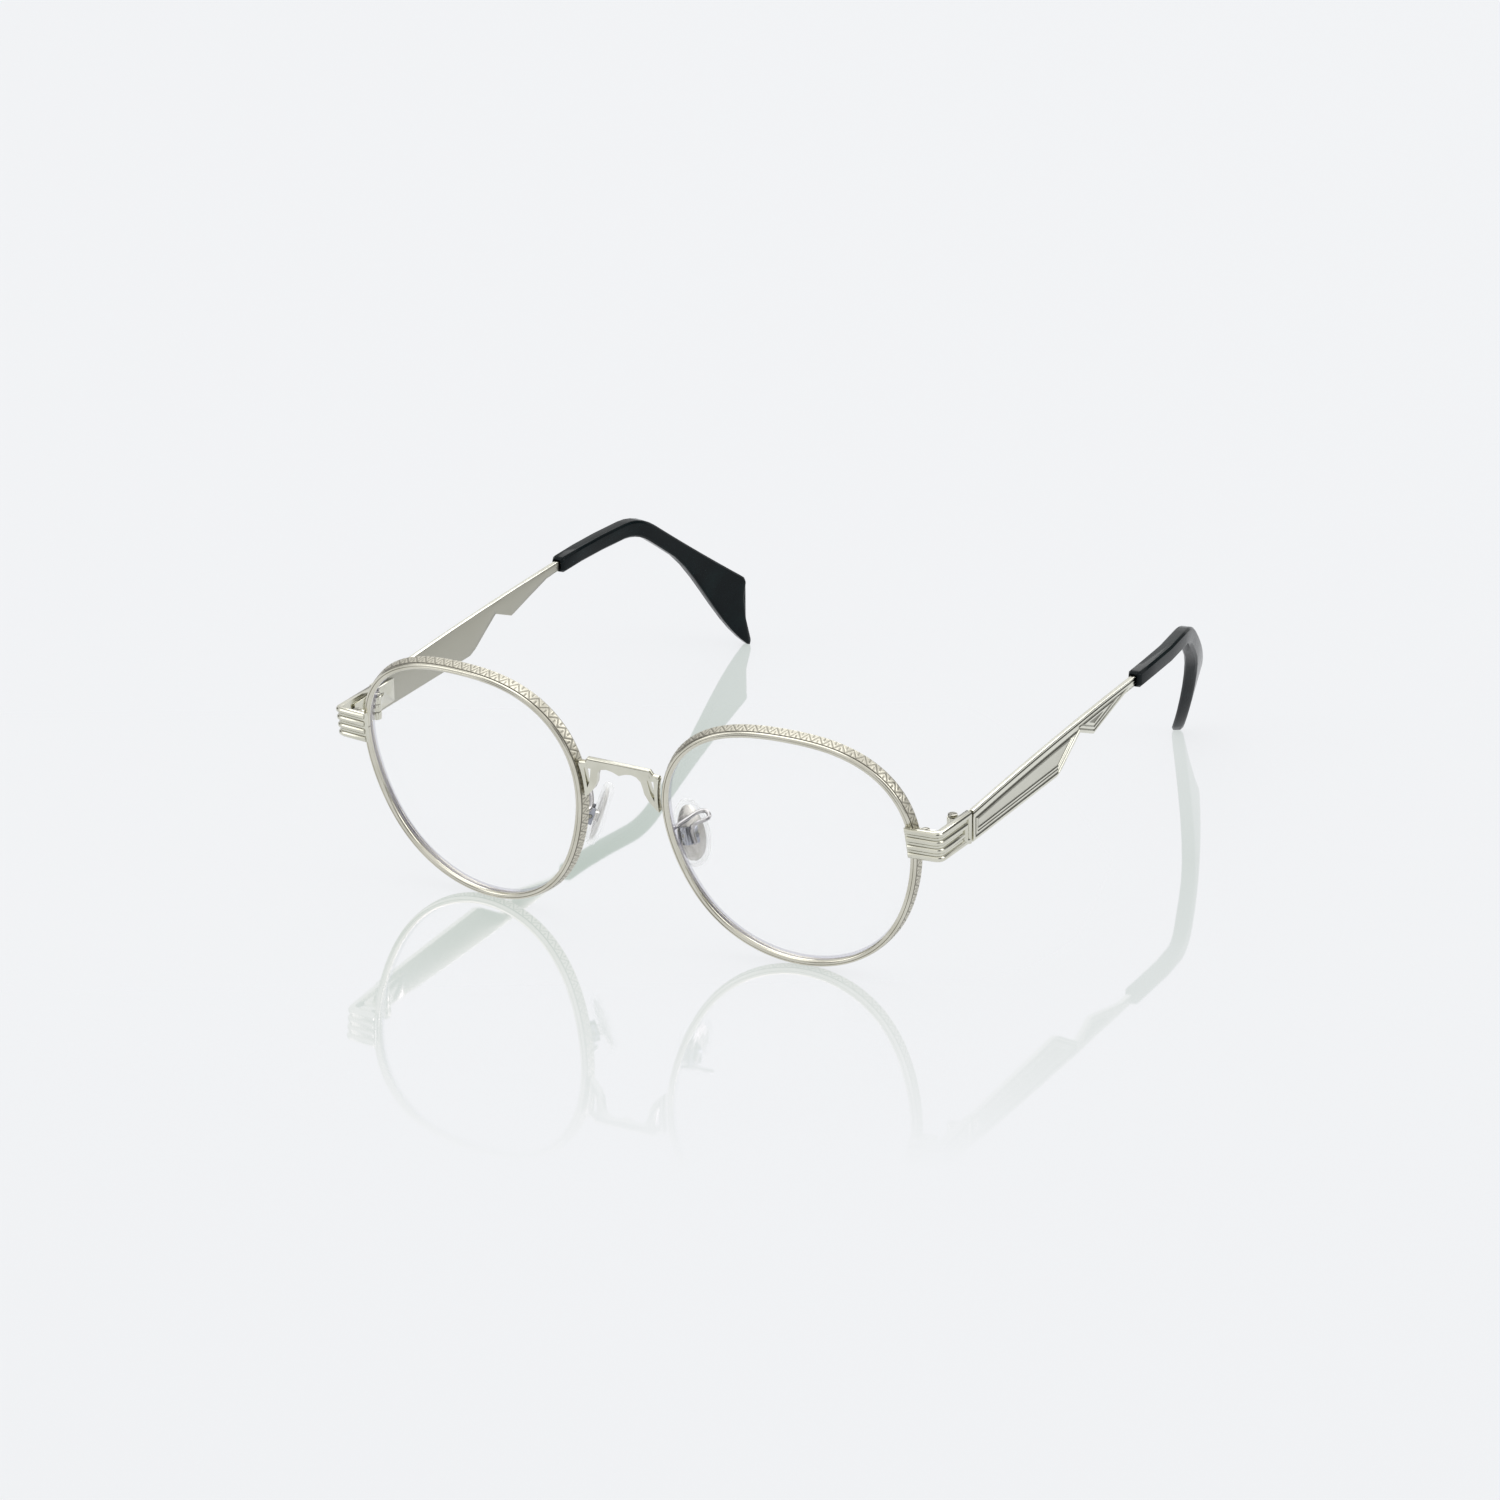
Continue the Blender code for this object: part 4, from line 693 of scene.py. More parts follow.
class Surroundings(Graph):
    """The studio's walls and ceiling, as the world's light in each direction.

    Attributes:
        cards: The dark cards.
        levels: The light's level, as stops from the horizon to straight up.
    """

    cards = (Card((0.47, 0.81, 0.30), 13.0, 21.0, 0.85), Card((0.85, -0.42, 0.40), 10.0, 20.0, 0.92),
             Card((-1.0, 0.15, 0.25), 12.0, 22.0, 0.75), Card((-0.45, -0.85, 0.27), 8.0, 13.0, 0.85))
    levels = ((0.0, 0.32), (0.05, 0.45), (0.17, 0.905), (0.6, 0.905), (0.8, 1.0))

    def __init__(self, world: bpy.types.World) -> None:
        """Take over a world's node tree."""
        self._adopt(world, "Background", "World Output")

    def build(self) -> None:
        """Light each direction by its height, less the dark cards."""
        direction = self.add("ShaderNodeTexCoord", output="Generated")
        height = self.add("ShaderNodeSeparateXYZ", {}, {"Vector": direction}, "Z")
        light = self.add("ShaderNodeValToRGB", {"stops": self.levels}, {"Fac": height})
        for card in self.cards:
            towards = tuple(Vector(card.towards).normalized())
            facing = self.add("ShaderNodeVectorMath", {"operation": "DOT_PRODUCT"},
                              {0: direction, 1: towards}, "Value")
            light = light * (1.0 - facing.between(*card.edge) * card.depth)
        self.plug(self.shader.inputs["Color"], light)
        self.shader.inputs["Strength"].default_value = 1.0


# Modelling by operators


def clear_selection() -> None:
    """Deselect every object."""
    if bpy.context.mode != "OBJECT":
        bpy.ops.object.mode_set(mode="OBJECT")
    bpy.ops.object.select_all(action="DESELECT")


def pick(piece: bpy.types.Object) -> None:
    """Make a piece the only selected object and the active one.

    Args:
        piece: The piece that operators act on next.
    """
    clear_selection()
    piece.select_set(True)
    bpy.context.view_layer.objects.active = piece


@contextmanager
def editing(piece: bpy.types.Object, everything: bool = True) -> Iterator[None]:
    """Hold a piece in edit mode.

    Args:
        piece: The mesh that is shaped.
        everything: Whether all of it starts selected.
    """
    pick(piece)
    bpy.ops.object.mode_set(mode="EDIT")
    bpy.ops.mesh.select_mode(type="VERT")
    bpy.ops.mesh.select_all(action="SELECT" if everything else "DESELECT")
    yield
    bpy.ops.object.mode_set(mode="OBJECT")


def points_of(piece: bpy.types.Object) -> np.ndarray:
    """Read where a piece's points are.

    Args:
        piece: The mesh that is read.

    Returns:
        One row of coordinates for each point.
    """
    values = np.zeros(len(piece.data.vertices) * 3)
    piece.data.vertices.foreach_get("co", values)
    return values.reshape(-1, 3)


def move_points(piece: bpy.types.Object, points: np.ndarray) -> None:
    """Give a piece's points new places."""
    piece.data.vertices.foreach_set("co", points.astype(np.float32).ravel())
    piece.data.update()


def write_attribute(piece: bpy.types.Object, name: str, values: np.ndarray) -> None:
    """Store one number for each point of a piece."""
    layer = piece.data.attributes.new(name, "FLOAT", "POINT")
    layer.data.foreach_set("value", values.astype(np.float32))


def shade(piece: bpy.types.Object, angle: float) -> None:
    """Shade a piece smooth, up to an angle in degrees between faces."""
    pick(piece)
    bpy.ops.object.shade_smooth_by_angle(angle=math.radians(angle))


def face_outwards(piece: bpy.types.Object) -> None:
    """Merge a piece's doubles and turn every face outwards.

    Args:
        piece: The mesh that is mended.
    """
    with editing(piece):
        bpy.ops.mesh.remove_doubles(threshold=WELD)
        bpy.ops.mesh.normals_make_consistent(inside=False)


def set_material(piece: bpy.types.Object, material: bpy.types.Material) -> None:
    """Give a piece one material."""
    piece.data.materials.clear()
    piece.data.materials.append(material)


def stand_for(piece: bpy.types.Object, node: str) -> None:
    """Let a piece ride on a node's body and stand for that node.

    Args:
        piece: The finished piece.
        node: The CAD node that it takes the place of.
    """
    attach(piece, frame["nodes"][node]["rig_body"])
    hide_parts(node)
    LOG.info("%s stands for %s, %d faces", piece.name, node, len(piece.data.polygons))


@dataclass
class FinishedCopy:
    """A node's solid with its loose triangles merged, its edges eased and its faces shaded.

    Attributes:
        node: The node that the copy stands for.
        ease: The width of the eased edges.
        turns: The segments of an eased edge.
        crease: The least angle, in degrees, of an edge that is eased.
        smooth: The angle, in degrees, up to which faces shade smooth.
    """

    node: str
    ease: float = 0.08 * MM
    turns: int = 2
    crease: float = 32.0
    smooth: float = 40.0

    def build(self) -> bpy.types.Object:
        """Copy the solid and finish the copy.

        Returns:
            The copy, which doesn't ride on anything yet.
        """
        mesh = frame["nodes"][self.node].data.copy()
        piece = bpy.data.objects.new(self.node + "_finished", mesh)
        bpy.context.scene.collection.objects.link(piece)
        pick(piece)
        if mesh.has_custom_normals:
            bpy.ops.mesh.customdata_custom_splitnormals_clear()
        with editing(piece):
            bpy.ops.mesh.remove_doubles(threshold=WELD)
            bpy.ops.mesh.select_all(action="SELECT")
            bpy.ops.mesh.tris_convert_to_quads(face_threshold=QUAD_FLATNESS, shape_threshold=QUAD_SHAPE)
            bpy.ops.mesh.select_all(action="SELECT")
            bpy.ops.mesh.dissolve_limited(angle_limit=NEEDLESS_EDGE)
        if self.ease:
            self._ease_edges(piece)
        shade(piece, self.smooth)
        return piece

    def _ease_edges(self, piece: bpy.types.Object) -> None:
        """Round the copy's edges by a bevel.

        Args:
            piece: The merged copy.
        """
        pick(piece)
        bevel = piece.modifiers.new("eased_edges", "BEVEL")
        bevel.width = self.ease
        bevel.segments = self.turns
        bevel.limit_method = "ANGLE"
        bevel.angle_limit = math.radians(self.crease)
        bevel.use_clamp_overlap = True
        bpy.ops.object.modifier_apply(modifier=bevel.name)


# The spectacles' own sub-assemblies


@dataclass
class Outline:
    """The lens outline, seen from the front, with angle 0 at the temple and a quarter turn at the top.

    Attributes:
        radius: The mean distance from the lens centre to the rim's inner lip.
        terms: How the distance swells round the lens: waves by order, kind and share.
    """

    radius: float = RIM_RADIUS
    terms: tuple = RIM_TERMS

    def reach(self, angle: np.ndarray) -> np.ndarray:
        """Measure from the lens centre to the inner lip.

        Args:
            angle: The angles at which it is measured.

        Returns:
            The distance at each angle.
        """
        total = np.ones_like(angle)
        for order, wave, share in self.terms:
            total = total + share * getattr(np, wave)(order * angle)
        return self.radius * total

    def across(self, angle: np.ndarray) -> tuple[np.ndarray, np.ndarray]:
        """Return the sideways and upward place of the inner lip at each angle."""
        return self.reach(angle) * np.cos(angle), self.reach(angle) * np.sin(angle)

    def press(self, angle: np.ndarray, offset: np.ndarray,
              share: np.ndarray) -> tuple[np.ndarray, np.ndarray]:
        """Place points near the outline.

        Args:
            angle: Each point's angle.
            offset: Its distance outside the inner lip.
            share: Its share of the way from the centre to the outline.

        Returns:
            The sideways and the upward coordinates.
        """
        step = 0.001
        x, z = self.across(angle)
        next_x, next_z = self.across(angle + step)
        last_x, last_z = self.across(angle - step)
        dx, dz = next_x - last_x, next_z - last_z
        size = np.hypot(dx, dz)
        return share * x + dz / size * offset, share * z - dx / size * offset


def rim_matrix(side: Side) -> Matrix:
    """Return the rim's frame: X to the side, Y backwards through the lens, Z up along it."""
    centre = Matrix.Translation((side.value * RIM_CENTRE_X, FRONT_Y, RIM_CENTRE_Z))
    return centre @ Matrix.Rotation(side.value * FRONT_WRAP, 4, "Z") @ Matrix.Rotation(FRONT_TILT, 4, "X")


def in_model(side: Side, local: np.ndarray) -> np.ndarray:
    """Return points of a rim's frame in the model's frame."""
    matrix = np.array(rim_matrix(side))
    return local @ matrix[:3, :3].T + matrix[:3, 3]


def turned_ring(name: str, profile: Sequence[tuple[float, float]], steps: int, start: float, sweep: float,
                closed: bool) -> bpy.types.Object:
    """Spin a profile about the Y axis.

    Args:
        name: The new object's name.
        profile: Points as distances from the axis and depths along it.
        steps: The number of steps round the turn.
        start: The angle of the first section.
        sweep: The angle that is swept.
        closed: Whether the profile closes on itself.

    Returns:
        The spun mesh.
    """
    clear_selection()
    bpy.ops.mesh.primitive_circle_add(vertices=len(profile), radius=MM, fill_type="NOTHING")
    ring = bpy.context.object
    ring.name = ring.data.name = name
    places = np.array([(r * math.cos(start), depth, r * math.sin(start)) for r, depth in profile])
    move_points(ring, places)
    if not closed:
        shape = bmesh.new()
        shape.from_mesh(ring.data)
        shape.verts.ensure_lookup_table()
        loose = [e for e in shape.edges if {v.index for v in e.verts} == {0, len(profile) - 1}]
        bmesh.ops.delete(shape, geom=loose, context="EDGES_FACES")
        shape.to_mesh(ring.data)
        shape.free()
    with editing(ring):
        bpy.ops.mesh.spin(steps=steps, angle=-sweep, center=(0, 0, 0), axis=(0, 1, 0))
    return ring


@dataclass
class RimWire:
    """One rim: a deep front lip and an engraved band round a grooved wire.

    Offsets are measured outwards from the inner lip and depths backwards from the front.

    Attributes:
        side: The wearer's side.
        depth: The wire's depth.
        lip_start: The offset of the lip's inner face.
        lip_end: The offset of its outer face.
        lip_rise: The lip's rounded flanks, as offsets and depths in millimetres.
        lip_line: How far across the lip its engraved line runs.
        line_half: Half that line's width.
        line_depth: Its depth.
        line_painted_shade: How dark the painted shade at its bottom is.
        lip_depth: How deep the lip reaches behind the front.
        notch: The depth of the notch between lip and band, which carries painted shade.
        notch_half: Half that notch's width.
        band_foot: The offset of the band's front edge.
        band_reach: The offset of its rear edge.
        band_start: The depth of its front edge.
        band_rest: How far before the wire's back it ends.
        band_swell: How far its middle swells outwards.
        rear_inset: The offset of the wire's inner face behind the lens.
        groove: The offset of the bottom of the lens groove.
        groove_half: Half the groove's width.
        split: The width of the closing split.
        split_height: The split's height above the lens centre.
        steps: Sections round the lens.
        rows: Rows of faces across the engraved band.
        stroke_depth: The depth of the engraving.
        stroke_width: The width of an engraved stroke.
        stroke_edge: The width over which a stroke's side slopes.
        pitch: The length of one motif along the band.
        motif: The motif's strokes, from end to end, as shares of its length and height.
        girth: The band's length as a share of the mean circle's.
        slack: How near a point has to be to a line of the section to belong to it.
        outline: The lens outline.
    """

    side: Side
    depth: float = 2.6 * MM
    lip_start: float = -0.3 * MM
    lip_end: float = 0.95 * MM
    lip_rise: tuple = ((0.0, 0.45), (0.05, 0.28), (0.15, 0.14), (0.3, 0.045), (0.46, 0.0))
    lip_line: float = 0.72 * MM
    line_half: float = 0.08 * MM
    line_depth: float = 0.13 * MM
    line_painted_shade: float = 0.6
    lip_depth: float = 0.9 * MM
    notch: float = 0.55 * MM
    notch_half: float = 0.09 * MM
    band_foot: float = 1.03 * MM
    band_reach: float = 1.37 * MM
    band_start: float = 0.64 * MM
    band_rest: float = 0.2 * MM
    band_swell: float = 0.05 * MM
    rear_inset: float = 0.45 * MM
    groove: float = 0.85 * MM
    groove_half: float = 0.35 * MM
    split: float = 0.15 * MM
    split_height: float = 5.3 * MM
    steps: int = 1080
    rows: int = 16
    stroke_depth: float = 0.07 * MM
    stroke_width: float = 0.24 * MM
    stroke_edge: float = 0.1 * MM
    pitch: float = 2.3 * MM
    motif: tuple = (((0.0, 0.06), (0.5, 0.94)), ((0.5, 0.94), (1.0, 0.06)), ((0.5, 0.06), (0.5, 0.4)),
                    ((0.0, 0.6), (0.0, 0.94)), ((1.0, 0.6), (1.0, 0.94)))
    girth: float = 1.05
    slack: float = 0.01 * MM
    outline: Outline = field(default_factory=Outline)

    @property
    def band_end(self) -> float:
        """Return the depth of the band's rear edge."""
        return self.depth - self.band_rest

    def lip(self) -> list[tuple[float, float]]:
        """Draw the section's front, from the lip's inner face to the foot of the band.

        Returns:
            Its points, as offsets and depths.
        """
        line = self.lip_start + self.lip_line
        points = [(self.lip_start + a * MM, b * MM) for a, b in self.lip_rise]
        points += [(line - self.line_half, 0.02 * MM), (line, self.line_depth),
                   (line + self.line_half, 0.02 * MM)]
        points += [(self.lip_end - a * MM, b * MM) for a, b in reversed(self.lip_rise[:-1])]
        return points + [(self.lip_end - 0.05 * MM, self.notch - 0.03 * MM),
                         (self.lip_end - 0.04 * MM, self.notch + 0.03 * MM),
                         (self.band_foot - 0.03 * MM, self.band_start - 0.02 * MM)]

    def band(self) -> list[tuple[float, float]]:
        """Draw the section's band, as rows that the engraving moves.

        Returns:
            Its points, as offsets and depths.
        """
        points = []
        for row in range(self.rows + 1):
            share = row / self.rows
            swell = self.band_swell * math.sin(math.pi * share)
            points.append((self.band_foot + (self.band_reach - self.band_foot) * share + swell,
                           self.band_start + (self.band_end - self.band_start) * share))
        return points

    def rear(self) -> list[tuple[float, float]]:
        """Draw the section's back and the lens groove, up to the lip's inner face.

        Returns:
            Its points, as offsets and depths.
        """
        back, reach = self.depth, self.band_reach
        middle = (self.lip_depth + back) / 2
        return [(reach - 0.06 * MM, back - 0.06 * MM), (reach - 0.2 * MM, back),
                (self.rear_inset + 0.1 * MM, back), (self.rear_inset, back - 0.15 * MM),
                (self.rear_inset, middle + self.groove_half), (self.groove, middle),
                (self.lip_start + 0.04 * MM, self.lip_depth - 0.04 * MM),
                (self.lip_start, self.lip_depth - 0.14 * MM)]

    def build(self) -> bpy.types.Object:
        """Spin the section round the lens, press it to the outline and engrave the band.

        Returns:
            The rim, in place.
        """
        start = self.split_angle() + self.split / 2 / RIM_RADIUS
        section = self.lip() + self.band() + self.rear()
        profile = [(RIM_RADIUS + offset, depth) for offset, depth in section]
        ring = turned_ring("rim_wire_" + self.side.label, profile, self.steps, start,
                           2 * math.pi - self.split / RIM_RADIUS, closed=True)
        with editing(ring, everything=False):
            bpy.ops.mesh.select_non_manifold(extend=False)
            bpy.ops.mesh.edge_face_add()
        points = points_of(ring)
        angle = np.arctan2(points[:, 2], points[:, 0])
        offset = np.hypot(points[:, 0], points[:, 2]) - RIM_RADIUS
        depth = points[:, 1].copy()
        on_band = (offset > self.band_foot - self.slack) & (depth > self.band_start - self.slack)
        on_band &= depth < self.band_end + self.slack
        stroke = np.where(on_band, self.strokes(angle, depth), 0.0)
        offset = offset - stroke * self.stroke_depth
        x, z = self.outline.press(angle, offset, np.ones_like(angle))
        move_points(ring, in_model(self.side, np.stack([self.side.value * x, depth, z], 1)))
        # The engraved strokes carry painted shade: the finish darkens them.
        write_attribute(ring, "stroke", stroke)
        # Painted shade in the notch between lip and band and at the bottom of the lip's engraved line.
        in_notch = (np.abs(depth - self.notch) < self.notch_half) & (offset > self.groove)
        on_line = np.abs(offset - self.lip_start - self.lip_line) < 2 * self.slack
        on_line &= np.abs(depth - self.line_depth) < 3 * self.slack
        write_attribute(ring, "recess", np.where(in_notch, 1.0, on_line * self.line_painted_shade))
        write_attribute(ring, "band", on_band.astype(float))
        face_outwards(ring)
        shade(ring, 50.0)
        return ring

    def split_angle(self) -> float:
        """Halve a range of angles until it closes on the split's height.

        Returns:
            The angle of the closing split.
        """
        low, high = -0.4, 0.8
        one = np.ones(1)
        for _ in range(40):
            middle = (low + high) / 2
            _, z = self.outline.press(one * middle, one * 0.0, one)
            low, high = (middle, high) if z[0] < self.split_height else (low, middle)
        return (low + high) / 2

    def strokes(self, angle: np.ndarray, depth: np.ndarray) -> np.ndarray:
        """Engrave a running zigzag with a bar in each notch.

        Args:
            angle: Each point's angle round the lens.
            depth: Its depth behind the front.

        Returns:
            A value from 0 on the plain band to 1 in a stroke.
        """
        count = round(2 * math.pi * RIM_RADIUS * self.girth / self.pitch)
        along = (angle / (2 * math.pi) * count) % 1.0 * self.pitch
        tall = self.band_end - self.band_start
        up = depth - self.band_start
        half = self.stroke_width / 2
        nearest = np.full_like(along, 1.0)
        for (start_along, start_up), (end_along, end_up) in self.motif:
            ax, ay = start_along * self.pitch, start_up * tall
            bx, by = end_along * self.pitch, end_up * tall
            px, py = along - ax, up - ay
            dx, dy = bx - ax, by - ay
            share = np.clip((px * dx + py * dy) / (dx * dx + dy * dy), 0, 1)
            nearest = np.minimum(nearest, np.hypot(px - share * dx, py - share * dy))
        return np.clip((half + self.stroke_edge / 2 - nearest) / self.stroke_edge, 0, 1)


@dataclass
class Lens:
    """One round lens, crowned to the front and bevelled into the rim's groove.

    Attributes:
        side: The wearer's side.
        crown: How far its edge lies behind its middle.
        front: The depth of its front edge.
        middle: The depth of the bevel's ridge.
        back: The depth of its rear edge.
        bevel: How far the ridge stands outside the rim's inner lip.
        inner: How far the bevel's two edges do.
        face_share: The share of the outline that the crowned faces reach.
        rings: The steps from the middle of a face to its edge.
        steps: Sections round the lens.
        outline: The lens outline.
    """

    side: Side
    crown: float = 2.4 * MM
    front: float = 1.05 * MM
    middle: float = 1.75 * MM
    back: float = 2.2 * MM
    bevel: float = 0.55 * MM
    inner: float = -0.1 * MM
    face_share: float = 0.995
    rings: int = 14
    steps: int = 240
    outline: Outline = field(default_factory=Outline)

    def face(self, edge: float) -> list[tuple[float, float]]:
        """Return one crowned face from its middle outwards, with its edge at this depth."""
        shares = [index / self.rings for index in range(self.rings + 1)]
        return [(RIM_RADIUS * s * self.face_share, edge - self.crown * (1 - s * s)) for s in shares]

    def build(self) -> bpy.types.Object:
        """Spin the two faces and the bevel, and press them to the outline.

        Returns:
            The lens, in place.
        """
        profile = self.face(self.front)
        profile += [(RIM_RADIUS + self.inner, self.front), (RIM_RADIUS + self.bevel, self.middle),
                    (RIM_RADIUS + self.inner, self.back)]
        profile += reversed(self.face(self.back))
        disc = turned_ring("lens_disc_" + self.side.label, profile, self.steps, 0.0, 2 * math.pi,
                           closed=False)
        with editing(disc):
            bpy.ops.mesh.remove_doubles(threshold=WELD)
        points = points_of(disc)
        angle = np.arctan2(points[:, 2], points[:, 0])
        radius = np.hypot(points[:, 0], points[:, 2])
        outside = radius > RIM_RADIUS * (self.face_share + 0.0005)
        offset = np.where(outside, radius - RIM_RADIUS, 0.0)
        share = np.where(outside, 1.0, radius / RIM_RADIUS)
        x, z = self.outline.press(angle, offset, share)
        move_points(disc, in_model(self.side, np.stack([self.side.value * x, points[:, 1], z], 1)))
        write_attribute(disc, "edge", np.clip(radius / RIM_RADIUS, 0, 1))
        face_outwards(disc)
        shade(disc, 25.0)
        return disc


@dataclass
class NosePad:
    """One clear pad: a soft drop with a flat face, and the plate that shows through it.

    Attributes:
        side: The wearer's side.
        smooth: The angle, in degrees, up to which faces shade smooth.
        plate_shares: The plate's size as shares of the pad's length, width and thickness.
    """

    side: Side
    smooth: float = 50.0
    plate_shares: tuple[float, float, float] = (0.76, 0.68, 0.3)

    def _shaped(self) -> tuple[bpy.types.Object, np.ndarray, np.ndarray, np.ndarray]:
        """Copy the pad's solid and find its length, width and thickness.

        Returns:
            The copy, its points on its own three axes, those axes and its middle.
        """
        piece = FinishedCopy("nose_pad_" + self.side.label, ease=0.0, smooth=self.smooth).build()
        points = points_of(piece)
        middle = points.mean(0)
        _, _, axes = np.linalg.svd(points - middle, full_matrices=False)
        return piece, (points - middle) @ axes.T, axes, middle

    def build(self) -> bpy.types.Object:
        """Copy the pad and mark how near its edge each point is.

        Returns:
            The pad, in place.
        """
        piece, local, _, _ = self._shaped()
        reach = np.hypot(*(local[:, axis] / np.abs(local[:, axis]).max() for axis in (0, 1)))
        write_attribute(piece, "edge", np.clip(reach, 0, 1))
        return piece

    def plate(self) -> bpy.types.Object:
        """Shrink a second copy to the metal plate inside the pad.

        Returns:
            The plate, in place.
        """
        piece, local, axes, middle = self._shaped()
        piece.name = piece.data.name = "pad_plate_" + self.side.label
        move_points(piece, local * np.array(self.plate_shares) @ axes + middle)
        return piece


@dataclass
class TempleRelief:
    """One temple: a thin plate with beads, grooves and sunk satin panels on its outer face.

    Places on it are distances back from the front and heights above the hinge's middle. The margins
    of its panels are in millimetres from its edges: those of the long panel from the top edge, the
    front edge, the foot and the slope behind, and those of the small one from the top edge, the step
    and the neck.

    Attributes:
        side: The wearer's side.
        start: Where its front edge stands.
        end: Where it ends inside the tip.
        thickness: The plate's thickness.
        heights: The height of its top edge at both ends.
        bow: The rise of the top edge between them.
        lean: How far it leans inwards for each metre back.
        lean_start: Where the lean starts.
        foot: The corners of its lower edge, in millimetres.
        main_end: Where the long panel ends.
        wing_start: Where the small panel starts.
        panel: The margins of the long panel's outer frame.
        inner: Those of its inner frame.
        plain: Those of its satin field.
        lip: The margins of the small panel's frame.
        small: Those of its sunk eye.
        soft: The width over which a groove's side slopes, in millimetres.
        level: How far the plain areas lie below the beads.
        groove_depth: The depth of a groove.
        satin_depth: How far the satin field is sunk.
        eye_depth: How far the eye is sunk.
        eye_painted_shade: How dark the painted shade in the eye is.
        round_off: The radius of the edges of the outer face.
        stations: Sections along the temple.
        reach: How far in from both edges the rows run parallel to the edge.
        row_step: The distance between those rows.
        middle_rows: The rows between them.
    """

    side: Side
    start: float = 14.3 * MM
    end: float = 85.4 * MM
    thickness: float = 1.0 * MM
    heights: tuple[float, float] = (3.0285 * MM, 3.125 * MM)
    bow: float = 0.5 * MM
    lean: float = 0.0125
    lean_start: float = 14.0 * MM
    foot: tuple = ((14.3, -3.2715), (49.9, -4.3), (51.9, -3.6), (59.1, 0.55), (59.8, 0.95), (65.8, -1.65),
                   (66.7, -1.5), (72.8, -0.1625), (79.4, 1.225), (85.4, 1.325))
    main_end: float = 59.6 * MM
    wing_start: float = 59.2 * MM
    panel: tuple = (1.75, 0.95, 0.7, 0.65)
    inner: tuple = (2.3, 1.7, 1.5, 1.45)
    plain: tuple = (2.45, 2.0, 2.35, 2.2)
    lip: tuple = (1.15, 0.6, 0.55)
    small: tuple = (1.35, 1.35, 1.3)
    soft: float = 0.15
    level: float = 0.08 * MM
    groove_depth: float = 0.1 * MM
    satin_depth: float = 0.04 * MM
    eye_depth: float = 0.12 * MM
    eye_painted_shade: float = 0.9
    round_off: float = 0.22 * MM
    stations: int = 700
    reach: float = 2.65 * MM
    row_step: float = 0.085 * MM
    middle_rows: int = 9

    def top(self, y: np.ndarray) -> np.ndarray:
        """Work out the height of the top edge.

        Args:
            y: The distance back of each point.

        Returns:
            The height at each point.
        """
        share = (y - self.start) / (self.end - self.start)
        first, last = self.heights
        return first + (last - first) * share + 4 * self.bow * share * (1 - share)

    def bottom(self, y: np.ndarray) -> np.ndarray:
        """Return the height of the lower edge."""
        corners = np.array(self.foot) * MM
        return np.interp(y, corners[:, 0], corners[:, 1])

    def above(self, first: int, last: int, y: np.ndarray, z: np.ndarray) -> np.ndarray:
        """Measure from the straight line between two corners of the lower edge.

        Args:
            first: The corner in front.
            last: The corner behind.
            y: The distance back of each point.
            z: Its height.

        Returns:
            The distance of each point above the line.
        """
        start, stop = np.array(self.foot[first]) * MM, np.array(self.foot[last]) * MM
        way = (stop - start) / np.hypot(*(stop - start))
        return (z - start[1]) * way[0] - (y - start[0]) * way[1]

    @staticmethod
    def inside(margins: Sequence[float], *distances: np.ndarray) -> np.ndarray:
        """Return how far inside all its margins, in millimetres, each point of a panel lies."""
        return np.minimum.reduce([distance - margin * MM for margin, distance in zip(margins, distances)])

    def strip(self, distance: np.ndarray, low: float, high: float) -> np.ndarray:
        """Mark a strip along an edge.

        Args:
            distance: The distance of each point from the edge.
            low: Where the strip starts, in millimetres.
            high: Where it ends.

        Returns:
            1 inside the strip and 0 outside, with soft ends.
        """
        rise = np.clip((distance / MM - low) / self.soft + 0.5, 0, 1)
        fall = np.clip((high - distance / MM) / self.soft + 0.5, 0, 1)
        return (rise * rise * (3 - 2 * rise)) * (fall * fall * (3 - 2 * fall))

    @staticmethod
    def bead(distance: np.ndarray, middle: float, half: float) -> np.ndarray:
        """Return a rounded ridge about a distance in millimetres."""
        return np.sqrt(np.clip(1 - ((distance / MM - middle) / half) ** 2, 0, 1))

    def relief(self, y: np.ndarray, z: np.ndarray) -> tuple[np.ndarray, np.ndarray, np.ndarray]:
        """Shape the outer face.

        Args:
            y: The distance back of each point.
            z: Its height.

        Returns:
            How far each point is sunk, how much painted shade it carries in a groove or the eye, and how
            much of a satin field.
        """
        down, front = self.top(y) - z, y - self.start
        low, rear = self.above(0, 1, y, z), self.above(2, 3, y, z)
        step, neck = self.above(4, 5, y, z), self.above(6, 8, y, z)
        main, wing = y < self.main_end, y > self.wing_start
        panel, inner, plain = [self.inside(margins, down, front, low, rear)
                               for margins in (self.panel, self.inner, self.plain)]
        lip, small = [self.inside(margins, down, step, neck) for margins in (self.lip, self.small)]
        edge = np.minimum(np.where(main, np.minimum(low, rear), np.minimum(step, neck)), front)
        below = main & (self.inside(self.inner[2:], low, rear) < down - self.inner[0] * MM)
